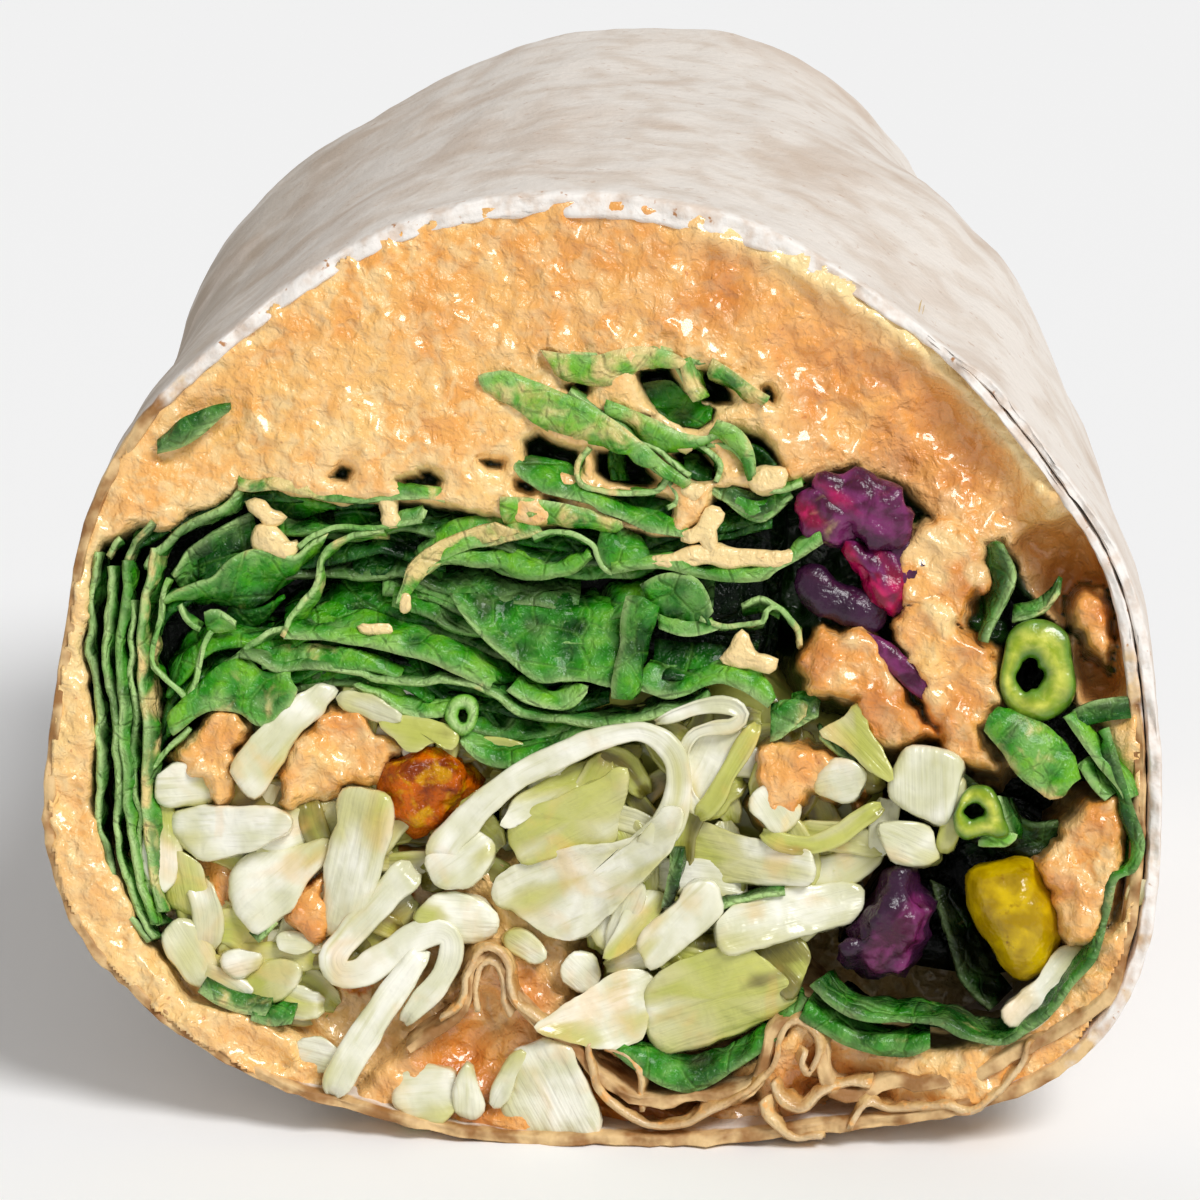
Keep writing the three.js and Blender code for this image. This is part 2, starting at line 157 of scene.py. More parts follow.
# Hummus that lies in front of the filling: outline, depth of its top, tone (1 light, 0 deep orange).
HUMMUS_ISLANDS = {
    "right_mass": ([(910, 609), (931, 599), (951, 611), (957, 635), (975, 633), (996, 648), (999, 674),
                    (1002, 703), (988, 715), (978, 729), (982, 750), (1002, 760), (990, 768), (971, 766),
                    (951, 758), (943, 735), (939, 720), (922, 690), (905, 660), (900, 630)], 0.1, 0.95),
    "by_purple": ([(903, 545), (915, 525), (940, 520), (965, 530), (985, 548), (988, 580), (972, 600),
                   (965, 625), (945, 620), (925, 605), (905, 608), (895, 580)], 0.7, 0.9),
    "left_of_mass": ([(802, 672), (810, 642), (826, 625), (841, 637), (863, 631), (880, 655), (905, 700),
                      (939, 733), (914, 746), (882, 746), (868, 728), (857, 700), (841, 703), (818, 698),
                      (806, 688)], 0.6, 0.85),
    "right_block": ([(1036, 866), (1050, 850), (1066, 824), (1082, 808), (1104, 800), (1122, 803),
                     (1125, 837), (1118, 866), (1108, 900), (1102, 936), (1084, 944), (1068, 940),
                     (1059, 930), (1057, 896), (1044, 884)], -0.1, 0.75),
    "cabbage_left": ([(171, 753), (185, 733), (202, 719), (220, 714), (234, 719), (251, 725), (236, 749),
                      (230, 770), (230, 794), (220, 809), (212, 800), (210, 782), (190, 772)], 0.3, 0.9),
    "cabbage_top": ([(277, 772), (298, 739), (316, 725), (336, 709), (351, 715), (373, 727), (404, 747),
                     (391, 768), (377, 782), (342, 790), (314, 800), (304, 807), (281, 806), (281, 790)],
                    0.1, 0.9),
    "cabbage_low": ([(324, 870), (328, 904), (326, 937), (312, 940), (295, 930), (287, 920), (289, 908),
                     (304, 892)], 0.6, 0.6),
    "cabbage_right": ([(753, 804), (756, 780), (761, 752), (775, 741), (800, 737), (808, 749),
                       (824, 753), (842, 759), (865, 776), (863, 788), (853, 800), (824, 796), (808, 792),
                       (802, 808), (800, 822), (785, 831), (767, 827)], 0.5, 0.6),
    "loop_end": ([(1075, 600), (1085, 592), (1100, 600), (1106, 615), (1103, 628), (1112, 650),
                  (1108, 660), (1095, 650), (1085, 632), (1076, 625)], 0.2, 0.75),
}
# Places where the hummus has sunk behind the cut: middle, radius in pixels, depth in mm.
HOLLOWS = [
    ((885, 425), 85, 2.2), ((960, 420), 60, 1.6), ((990, 500), 55, 1.4), ((800, 350), 60, 0.8),
    ((720, 310), 60, 0.4), ((1075, 660), 50, 1.8), ((870, 1075), 80, 1.0), ((500, 1090), 120, 1.2),
    ((340, 1060), 60, 1.0), ((200, 440), 40, 0.5), ((300, 400), 60, -0.3), ((640, 1120), 60, 3.0),
    ((720, 1120), 50, 3.0), ((830, 1105), 45, 3.0), ((1085, 600), 50, 2.4), ((1055, 555), 40, 2.0),
    ((1100, 680), 35, 1.8), ((540, 990), 45, 1.6), ((460, 1050), 50, 1.4), ((700, 1100), 40, 2.0),
    ((620, 1080), 30, 2.0), ((430, 330), 120, -0.5), ((620, 330), 80, -0.4), ((900, 500), 40, 1.2),
]

# The way the knife has dragged the hummus at the upper right, and the hole it has torn there.
DRAG = np.array([0.75, 0.66])
TEAR = [
    (1000, 560), (1018, 540), (1040, 525), (1070, 510), (1092, 524), (1104, 545), (1120, 600), (1125, 680),
    (1100, 720), (1080, 700), (1072, 660), (1076, 640), (1050, 615), (1020, 592),
]

# Spinach leaves: each row is a depth and a line, or a depth and a shift of the first line. The first
# row is the cut edge. tone runs from dark to bright, smear is the share of hummus on the leaf.
SPINACH_LEAVES = {
    "left_outer": dict(tone=0.35, wrinkle=0.7, rows=[
        (0.3, [(98, 552), (94, 590), (90, 618), (87, 645), (91, 675), (94, 705), (95, 745), (96, 790),
               (101, 840), (112, 890), (130, 926), (146, 944)]), (1.2, (4, 0)), (4.0, (9, 0))]),
    "left_second": dict(tone=0.5, wrinkle=0.7, rows=[
        (0.2, [(108, 566), (108, 612), (104, 640), (102, 664), (106, 685), (109, 712), (112, 745),
               (113, 790), (118, 840), (129, 884), (143, 918), (154, 938)]), (1.2, (5, 0)),
        (4.0, (10, 0))]),
    "left_broad": dict(tone=0.65, wrinkle=0.8, rows=[
        (0.0, [(122, 560), (120, 605), (117, 640), (118, 680), (121, 720), (123, 760), (125, 800),
               (131, 850), (140, 892), (151, 925)]), (0.3, (4, 0)), (1.8, (10, 0)), (4.0, (13, 0))]),
    "left_ridge": dict(tone=0.6, smear=0.45, wrinkle=0.7, rows=[
        (0.0, [(152, 548), (146, 578), (140, 606), (138, 640), (140, 680), (143, 712), (142, 748),
               (142, 785), (144, 825), (150, 872), (157, 912)]), (0.3, (5, 0)), (1.6, (10, 0)),
        (4.0, (14, 0))]),
    "left_between": dict(tone=0.45, wrinkle=0.8, rows=[
        (0.5, [(131, 600), (128, 650), (129, 700), (131, 750), (134, 800), (140, 850), (148, 890),
               (158, 925)]), (1.8, (4, 0)), (4.0, (8, 0))]),
    "low_bit_1": dict(tone=0.4, smear=0.3, rows=[
        (0.3, [(198, 992), (216, 1004), (240, 1013), (266, 1016)]), (0.6, (6, -10)), (2.0, (10, -16))]),
    "low_bit_2": dict(tone=0.6, smear=0.2, rows=[
        (0.2, [(250, 1020), (272, 1026), (292, 1024)]), (0.5, (4, -12)), (1.6, (8, -22))]),
    "low_bit_3": dict(tone=0.35, smear=0.2, rows=[
        (0.4, [(258, 942), (268, 934), (276, 922)]), (1.2, (-7, -8))]),
    "left_tip": dict(tone=0.4, smear=0.3, rows=[
        (0.1, [(108, 556), (114, 545), (121, 539)]), (1.0, (5, 5))]),
    "left_tip_2": dict(tone=0.35, smear=0.3, rows=[
        (0.1, [(126, 560), (133, 542), (141, 530), (152, 520)]), (1.5, (7, 6))]),
    "left_top": dict(tone=0.65, rows=[
        (0.2, [(146, 566), (152, 553), (163, 543), (179, 528), (194, 518), (213, 510), (228, 500),
               (240, 488)]), (0.8, (3, 5)), (5.0, (5, 8))]),
    "sliver": dict(tone=0.35, rows=[
        (-0.2, [(157, 453), (176, 448), (196, 438), (213, 425), (229, 411)]),
        (-0.4, [(158, 446), (177, 437), (197, 426), (214, 415), (230, 408)]),
        (0.0, [(160, 440), (179, 425), (198, 413), (215, 406), (231, 404)])]),
    "gap_face": dict(tone=0.6, smear=0.1, rows=[
        (1.4, [(172, 575), (190, 548), (222, 527), (252, 512)]),
        (2.0, [(182, 592), (205, 575), (232, 556), (262, 545)])]),
    "v_left": dict(tone=0.8, rows=[
        (0.3, [(168, 578), (162, 592), (161, 612), (158, 636), (154, 662), (162, 676), (175, 690),
               (187, 703)]), (4.0, (3, -2))]),
    "v_right": dict(tone=0.75, rows=[
        (0.3, [(187, 701), (194, 682), (202, 660), (207, 643), (213, 632)]), (4.0, (-3, -2))]),
    "v_patch": dict(tone=0.85, rows=[
        (0.2, [(204, 612), (215, 608), (228, 614), (237, 621)]),
        (0.7, [(208, 628), (217, 632), (228, 630), (236, 626)])]),
    "v_strip": dict(tone=0.7, rows=[
        (0.6, [(178, 606), (184, 616), (192, 626), (200, 630)]), (1.5, (3, -4))]),
    "bright_fold": dict(tone=0.7, smear=0.2, rows=[
        (0.2, [(163, 601), (176, 591), (198, 582), (213, 577), (226, 562), (243, 552), (261, 550),
               (280, 553), (296, 556), (309, 545), (328, 533)]),
        (0.7, [(168, 606), (182, 603), (200, 599), (214, 594), (228, 581), (247, 573), (265, 571),
               (283, 573), (299, 569), (308, 556), (322, 545)]),
        (2.2, [(174, 607), (190, 606), (206, 604), (220, 602), (234, 603), (248, 606), (262, 600),
               (280, 590), (296, 580), (304, 570), (314, 556)])]),
    "fold_edge": dict(tone=0.65, rows=[
        (0.1, [(299, 547), (312, 537), (330, 530), (347, 527), (371, 528), (395, 525), (422, 521)]),
        (1.6, (0, 7))]),
    "under_fold": dict(tone=0.5, edge=0, rows=[
        (2.2, [(232, 600), (256, 607), (285, 596)]), (3.2, [(214, 645), (235, 640), (262, 622)])]),
    "zig": dict(tone=0.75, smear=0.5, rows=[
        (0.1, [(384, 532), (366, 535), (347, 538), (332, 545), (320, 557), (317, 572), (311, 588),
               (300, 601), (290, 617), (286, 628), (283, 637)]), (2.5, (7, 3))]),
    "long": dict(tone=0.75, smear=0.1, rows=[
        (0.2, [(284, 639), (317, 640), (336, 642), (359, 646), (383, 650), (405, 656), (427, 661),
               (450, 671), (473, 681), (490, 690)]),
        (0.5, [(288, 630), (318, 630), (340, 632), (362, 635), (386, 638), (408, 644), (430, 648),
               (455, 658), (478, 668), (496, 680)]),
        (3.0, [(318, 604), (345, 600), (368, 602), (392, 612), (412, 624), (440, 632), (470, 642),
               (495, 655), (512, 668), (525, 684)])]),
    "midrib": dict(tone=0.45, edge=0, rows=[
        (2.8, [(405, 622), (427, 628), (450, 634), (475, 641), (492, 650)]),
        (3.6, [(408, 600), (430, 596), (448, 600), (470, 616), (488, 640)])]),
    "oval": dict(tone=0.6, edge=0, rows=[
        (2.0, [(352, 575), (370, 577), (390, 576), (406, 572)]),
        (3.2, [(356, 560), (372, 551), (392, 548), (408, 552)])]),
    "drip": dict(tone=0.8, smear=0.75, rows=[
        (0.1, [(395, 603), (402, 586), (408, 566), (425, 550), (445, 540), (470, 530), (495, 522)]),
        (0.4, [(404, 605), (412, 592), (428, 574), (447, 560), (470, 549), (495, 540), (520, 532)])]),
    "drip_body": dict(tone=0.75, smear=0.35, rows=[
        (0.5, [(428, 574), (447, 560), (470, 550), (498, 545), (520, 540), (545, 535)]),
        (1.6, [(412, 556), (430, 536), (452, 524), (478, 519), (500, 520), (530, 520)])]),
    "lobe": dict(tone=0.8, rows=[
        (0.8, [(424, 574), (445, 562), (474, 566), (500, 568), (515, 576), (535, 578), (555, 576),
               (573, 572), (592, 556)]),
        (0.5, [(430, 566), (450, 557), (480, 556), (505, 560), (520, 567), (538, 570), (556, 566),
               (575, 562), (590, 552)]),
        (1.4, [(445, 556), (475, 550), (505, 550), (520, 552), (530, 560), (545, 564), (560, 560),
               (578, 556), (590, 549)])]),
    "broad": dict(tone=0.6, rows=[
        (0.4, [(449, 593), (460, 612), (473, 629), (489, 645), (508, 660), (524, 674), (542, 683),
               (565, 681), (588, 682), (605, 687), (618, 688)]),
        (0.9, [(463, 594), (478, 610), (495, 625), (513, 638), (532, 650), (552, 658), (575, 660),
               (600, 662), (618, 664)]),
        (2.2, [(480, 592), (500, 596), (525, 600), (550, 604), (575, 608), (600, 612), (620, 616)]),
        (4.5, [(470, 578), (500, 576), (530, 580), (560, 584), (590, 590), (615, 596)])]),
    "hanging": dict(tone=0.5, thick=0.6, wrinkle=0.7, rows=[
        (0.1, [(628, 597), (622, 624), (618, 655), (615, 680), (614, 698)]),
        (-0.2, [(641, 596), (638, 624), (634, 655), (630, 680), (624, 699)]),
        (0.3, [(655, 606), (652, 628), (648, 652), (641, 677), (633, 695)])]),
    "shoulder": dict(tone=0.6, rows=[
        (0.5, [(640, 585), (655, 577), (672, 574), (692, 578), (705, 592), (713, 612)]),
        (0.2, [(648, 600), (662, 592), (678, 590), (694, 598), (702, 612), (706, 624)]),
        (0.9, [(658, 615), (670, 622), (688, 628), (706, 632), (718, 628)])]),
    "shoulder_low": dict(tone=0.7, rows=[
        (0.5, [(659, 629), (675, 635), (690, 637), (708, 633), (722, 628)]),
        (0.8, [(657, 614), (668, 619), (682, 622), (697, 622), (712, 619)])]),
    "loop_right": dict(tone=0.75, smear=0.4, rows=[
        (0.3, [(700, 618), (718, 626), (738, 626), (763, 622), (768, 611), (777, 606), (788, 614),
               (797, 629), (801, 645)]), (2.5, (-2, 5))]),
    "loop_hump": dict(tone=0.4, rows=[
        (1.0, [(742, 606), (752, 600), (763, 598), (778, 606)]),
        (2.0, [(744, 618), (755, 614), (768, 612), (780, 618)])]),
    "lower_dark": dict(tone=0.3, edge=0, rows=[
        (2.2, [(655, 638), (690, 643), (730, 643), (760, 640)]),
        (1.0, [(652, 680), (680, 682), (715, 680), (750, 672)])]),
    "lower_edge": dict(tone=0.7, rows=[
        (0.3, [(634, 689), (650, 694), (669, 699), (686, 695), (703, 687), (720, 683), (734, 687),
               (753, 697), (768, 708)]),
        (0.5, [(636, 681), (652, 685), (669, 688), (686, 684), (703, 677), (722, 672), (740, 676),
               (760, 688), (775, 700)]),
        (1.6, [(650, 665), (670, 668), (700, 665), (730, 662), (755, 668)])]),
    "hook": dict(tone=0.75, rows=[
        (0.3, [(506, 691), (522, 701), (542, 708), (560, 710), (575, 706), (586, 693), (588, 686)]),
        (0.6, [(512, 686), (526, 694), (543, 700), (558, 702), (568, 697), (575, 690), (578, 684)]),
        (2.0, [(520, 680), (540, 688), (556, 690), (566, 686)])]),
    "long_lower": dict(tone=0.5, rows=[
        (0.3, [(240, 658), (255, 662), (278, 673), (307, 670), (338, 672), (355, 674), (374, 680),
               (401, 684), (420, 685), (446, 683), (472, 688), (497, 699), (514, 713), (537, 720),
               (562, 722), (585, 727), (611, 726), (650, 720), (688, 709), (708, 697)]),
        (0.7, (1, -6)),
        (3.5, [(250, 650), (275, 650), (310, 648), (350, 652), (390, 660), (420, 670), (450, 676),
               (480, 686), (505, 700), (530, 708), (560, 711), (590, 714), (620, 710), (650, 704),
               (680, 694), (700, 684)])]),
    "sheen": dict(tone=0.7, smear=0.3, edge=0.3, rows=[
        (0.5, [(262, 668), (300, 668), (335, 670), (370, 672), (400, 678)]),
        (1.2, [(262, 650), (290, 644), (320, 646), (350, 652), (385, 660), (405, 668)])]),
    "curl_c": dict(tone=0.7, rows=[
        (0.4, [(353, 684), (362, 690), (376, 694), (389, 707), (405, 714), (420, 718), (443, 717)]),
        (0.8, [(360, 684), (372, 688), (386, 694), (398, 702), (412, 707), (428, 708), (448, 706)]),
        (2.2, [(372, 684), (390, 686), (410, 690), (432, 694), (455, 698)])]),
    "curl_c_dark": dict(tone=0.4, edge=0, rows=[
        (2.0, [(420, 690), (440, 692), (462, 694), (485, 702)]),
        (2.6, [(430, 712), (455, 716), (480, 722), (505, 730)])]),
    "bottom": dict(tone=0.65, rows=[
        (0.5, [(459, 742), (468, 753), (480, 762), (500, 768), (523, 767), (545, 762), (570, 750),
               (600, 738), (640, 730)]),
        (0.9, [(462, 734), (475, 745), (492, 752), (512, 756), (535, 752), (560, 742), (590, 733),
               (630, 727)]),
        (2.6, [(470, 722), (490, 728), (515, 733), (540, 732), (565, 728), (600, 728)])]),
    "lower_left_fold": dict(tone=0.75, smear=0.25, rows=[
        (0.3, [(173, 735), (183, 727), (194, 718), (209, 711), (225, 711), (243, 715), (256, 725),
               (270, 726), (286, 712), (296, 690)]),
        (0.2, [(171, 725), (181, 712), (196, 700), (214, 692), (230, 692), (248, 697), (262, 703),
               (276, 702), (288, 695), (295, 684)]),
        (0.8, [(190, 700), (200, 685), (214, 670), (230, 661), (247, 659), (262, 670), (278, 674),
               (290, 676)])]),
    "diagonal_low": dict(tone=0.7, rows=[
        (0.6, [(146, 776), (157, 762), (168, 748), (179, 738), (190, 728)]), (2.5, (5, 4))]),
    "diagonal_top": dict(tone=0.65, rows=[
        (0.5, [(286, 628), (270, 632), (255, 643), (240, 655), (226, 664)]), (2.5, (4, 6))]),
    "top_band": dict(tone=0.7, smear=0.55, rows=[
        (0.1, [(238, 490), (251, 492), (278, 490), (303, 495), (328, 501), (355, 503), (382, 501),
               (424, 499), (445, 503)]), (0.3, (0, -9)), (1.0, (0, -14))]),
    "top_face": dict(tone=0.6, edge=0, rows=[
        (1.0, [(252, 495), (280, 495), (310, 500), (336, 505)]),
        (2.4, [(262, 512), (285, 518), (312, 516), (334, 510)])]),
    "top_face_2": dict(tone=0.4, edge=0, rows=[
        (1.4, [(334, 512), (350, 509), (366, 511), (380, 514)]),
        (2.2, [(336, 524), (352, 524), (368, 522), (381, 520)])]),
    "green_end": dict(tone=0.65, rows=[
        (0.4, [(397, 526), (410, 524), (422, 521), (425, 510)]),
        (1.0, [(396, 514), (408, 512), (424, 508)])]),
    "mid_face": dict(tone=0.65, rows=[
        (0.2, [(512, 467), (519, 477), (532, 486), (545, 493), (562, 498), (588, 504), (602, 513),
               (625, 521), (650, 532), (686, 538), (705, 541)]),
        (0.5, [(513, 464), (524, 466), (540, 472), (555, 482), (572, 490), (592, 496), (608, 504),
               (630, 512), (655, 522), (690, 530)]),
        (1.8, [(519, 463), (535, 462), (552, 464), (568, 472), (578, 483), (590, 492), (606, 500)])]),
    "loop_c": dict(tone=0.8, smear=0.4, rows=[
        (0.1, [(588, 447), (580, 458), (576, 472), (580, 482), (592, 487), (611, 491), (636, 495),
               (653, 494), (663, 487), (669, 476), (672, 465)]), (3.0, (0, -4))]),
    "cross_c": dict(tone=0.7, smear=0.2, rows=[
        (0.2, [(590, 440), (612, 447), (634, 455), (652, 467), (668, 478), (690, 480)]),
        (2.0, (2, -3))]),
    "inside_c": dict(tone=0.45, edge=0, rows=[
        (1.6, [(612, 450), (611, 465), (613, 480)]), (3.0, [(622, 452), (623, 466), (624, 482)])]),
    "ring_right": dict(tone=0.75, rows=[
        (0.2, [(671, 480), (678, 492), (677, 502), (668, 508)]), (2.0, (-3, 1))]),
    "teal_face": dict(tone=0.3, edge=0, rows=[
        (2.4, [(606, 496), (630, 496), (655, 498), (674, 502)]),
        (1.2, [(615, 512), (635, 522), (655, 528), (672, 528)])]),
    "pale_band": dict(tone=0.85, smear=0.6, rows=[
        (0.2, [(500, 497), (520, 497), (545, 500), (575, 506), (600, 513), (622, 522)]),
        (0.0, [(500, 512), (522, 514), (548, 517), (575, 520), (600, 524), (622, 530)]),
        (0.5, [(505, 527), (530, 527), (560, 527), (588, 528), (606, 534)])]),
    "lens_rim": dict(tone=0.65, rows=[
        (0.2, [(533, 538), (545, 532), (560, 530), (577, 533), (592, 545), (596, 556), (604, 567),
               (613, 572)]), (3.0, (0, 4))]),
    "olive_face": dict(tone=0.55, rows=[
        (0.5, [(596, 552), (604, 566), (613, 572), (630, 567), (650, 566)]),
        (0.8, [(600, 538), (615, 540), (632, 545), (648, 555)]),
        (1.6, [(605, 532), (622, 532), (640, 540)])]),
    "under_band": dict(tone=0.7, rows=[
        (0.3, [(612, 573), (629, 570), (655, 568), (677, 570), (703, 578), (734, 581), (763, 579),
               (775, 571), (790, 563), (806, 553), (822, 542)]), (0.2, (0, -8)), (1.5, (0, -12))]),
    "top_right_dark": dict(tone=0.3, rows=[
        (0.8, [(706, 488), (720, 500), (734, 508), (748, 516), (763, 520), (775, 514), (782, 505),
               (790, 497)]), (1.4, [(712, 484), (728, 488), (745, 492), (762, 496), (782, 496)])]),
    "edge_right": dict(tone=0.8, smear=0.15, rows=[
        (0.1, [(707, 446), (722, 446), (736, 452), (745, 465), (751, 480), (759, 490), (782, 492),
               (803, 486)]), (2.0, (3, -3))]),
    "arc": dict(tone=0.7, rows=[
        (0.2, [(700, 443), (712, 452), (722, 462), (723, 474), (718, 483)]), (2.0, (-3, 2))]),
    "arc_face": dict(tone=0.5, edge=0, rows=[
        (1.2, [(684, 470), (696, 480), (712, 480)]), (2.4, [(684, 456), (698, 455), (713, 464)])]),
    "right_face": dict(tone=0.4, edge=0, rows=[
        (1.0, [(743, 444), (760, 450), (774, 462), (778, 470)]),
        (1.8, [(748, 462), (760, 470), (772, 474)])]),
    "top_rim": dict(tone=0.5, smear=0.45, rows=[
        (0.1, [(541, 350), (555, 353), (568, 354), (596, 356), (621, 351), (645, 347), (666, 350),
               (684, 358), (700, 362), (714, 358), (733, 373), (754, 389), (766, 397)]),
        (1.5, (0, 5))]),
    "upper_face": dict(tone=0.6, rows=[
        (2.4, [(640, 384), (655, 382), (672, 381), (688, 390)]),
        (1.8, [(650, 402), (668, 404), (686, 402), (712, 408)]),
        (0.8, [(662, 415), (680, 424), (698, 428), (712, 420)])]),
    "upper_wall": dict(tone=0.75, smear=0.3, rows=[
        (0.2, [(672, 356), (678, 370), (684, 382), (690, 392)]), (2.5, (6, 0))]),
    "broad_top": dict(tone=0.9, smear=0.5, rows=[
        (0.0, [(478, 376), (492, 372), (511, 377), (537, 383), (560, 393), (585, 408), (605, 422),
               (622, 436)]),
        (-0.2, [(482, 388), (500, 392), (520, 398), (545, 408), (570, 422), (592, 436), (612, 446)]),
        (0.3, [(486, 396), (505, 403), (523, 413), (541, 429), (565, 440), (588, 446)])]),
    "diagonal_upper": dict(tone=0.65, smear=0.2, rows=[
        (0.0, [(568, 393), (590, 407), (613, 422), (634, 438), (654, 450), (674, 464), (690, 476)]),
        (2.5, (3, -4))]),
    "lattice_broad": dict(tone=0.9, smear=0.45, rows=[
        (-0.3, [(478, 376), (500, 371), (521, 376), (552, 388), (592, 406), (630, 432), (663, 460),
                (692, 482)]),
        (-0.5, [(480, 384), (512, 388), (540, 400), (575, 418), (612, 440), (650, 466), (684, 488)]),
        (-0.1, [(486, 392), (508, 402), (534, 424), (560, 434), (590, 442), (630, 456), (668, 480)])]),
    "lattice_top": dict(tone=0.75, smear=0.62, rows=[
        (-0.2, [(540, 350), (568, 354), (595, 356), (616, 350), (641, 346), (671, 352), (688, 362)]),
        (-0.3, [(548, 362), (570, 368), (596, 372), (616, 368), (636, 362), (660, 362), (680, 368)]),
        (0.3, [(556, 372), (576, 380), (600, 384), (618, 380), (632, 374), (640, 372), (650, 368)])]),
    "lattice_right": dict(tone=0.6, smear=0.5, rows=[
        (-0.2, [(712, 359), (733, 372), (755, 388), (770, 397)]),
        (-0.4, [(708, 370), (726, 382), (746, 397), (764, 405)]),
        (0.4, [(716, 376), (732, 390), (752, 404)])]),
    "lattice_middle": dict(tone=0.8, smear=0.35, rows=[
        (-0.2, [(606, 400), (630, 408), (655, 420), (680, 432), (705, 436), (722, 426)]),
        (-0.4, [(604, 410), (628, 420), (650, 432), (674, 444), (698, 446), (720, 438)]),
        (0.6, [(612, 420), (632, 432), (650, 442), (672, 452), (690, 452)])]),
    "lattice_wall": dict(tone=0.85, smear=0.4, rows=[
        (-0.3, [(679, 360), (682, 374), (686, 390), (694, 402)]), (-0.3, (8, -2)), (1.6, (11, -3))]),
    "lattice_arc": dict(tone=0.85, smear=0.3, rows=[
        (-0.3, [(717, 421), (736, 428), (748, 440), (754, 456), (756, 474)]),
        (-0.4, [(712, 428), (728, 436), (739, 448), (745, 462), (747, 480)]), (1.4, (-8, 8))]),
    "black_gap_leaf": dict(tone=0.45, rows=[
        (0.8, [(712, 488), (730, 506), (748, 520), (764, 522), (780, 510), (792, 496)]),
        (1.2, [(718, 486), (738, 496), (756, 502), (776, 496), (790, 490)])]),
}

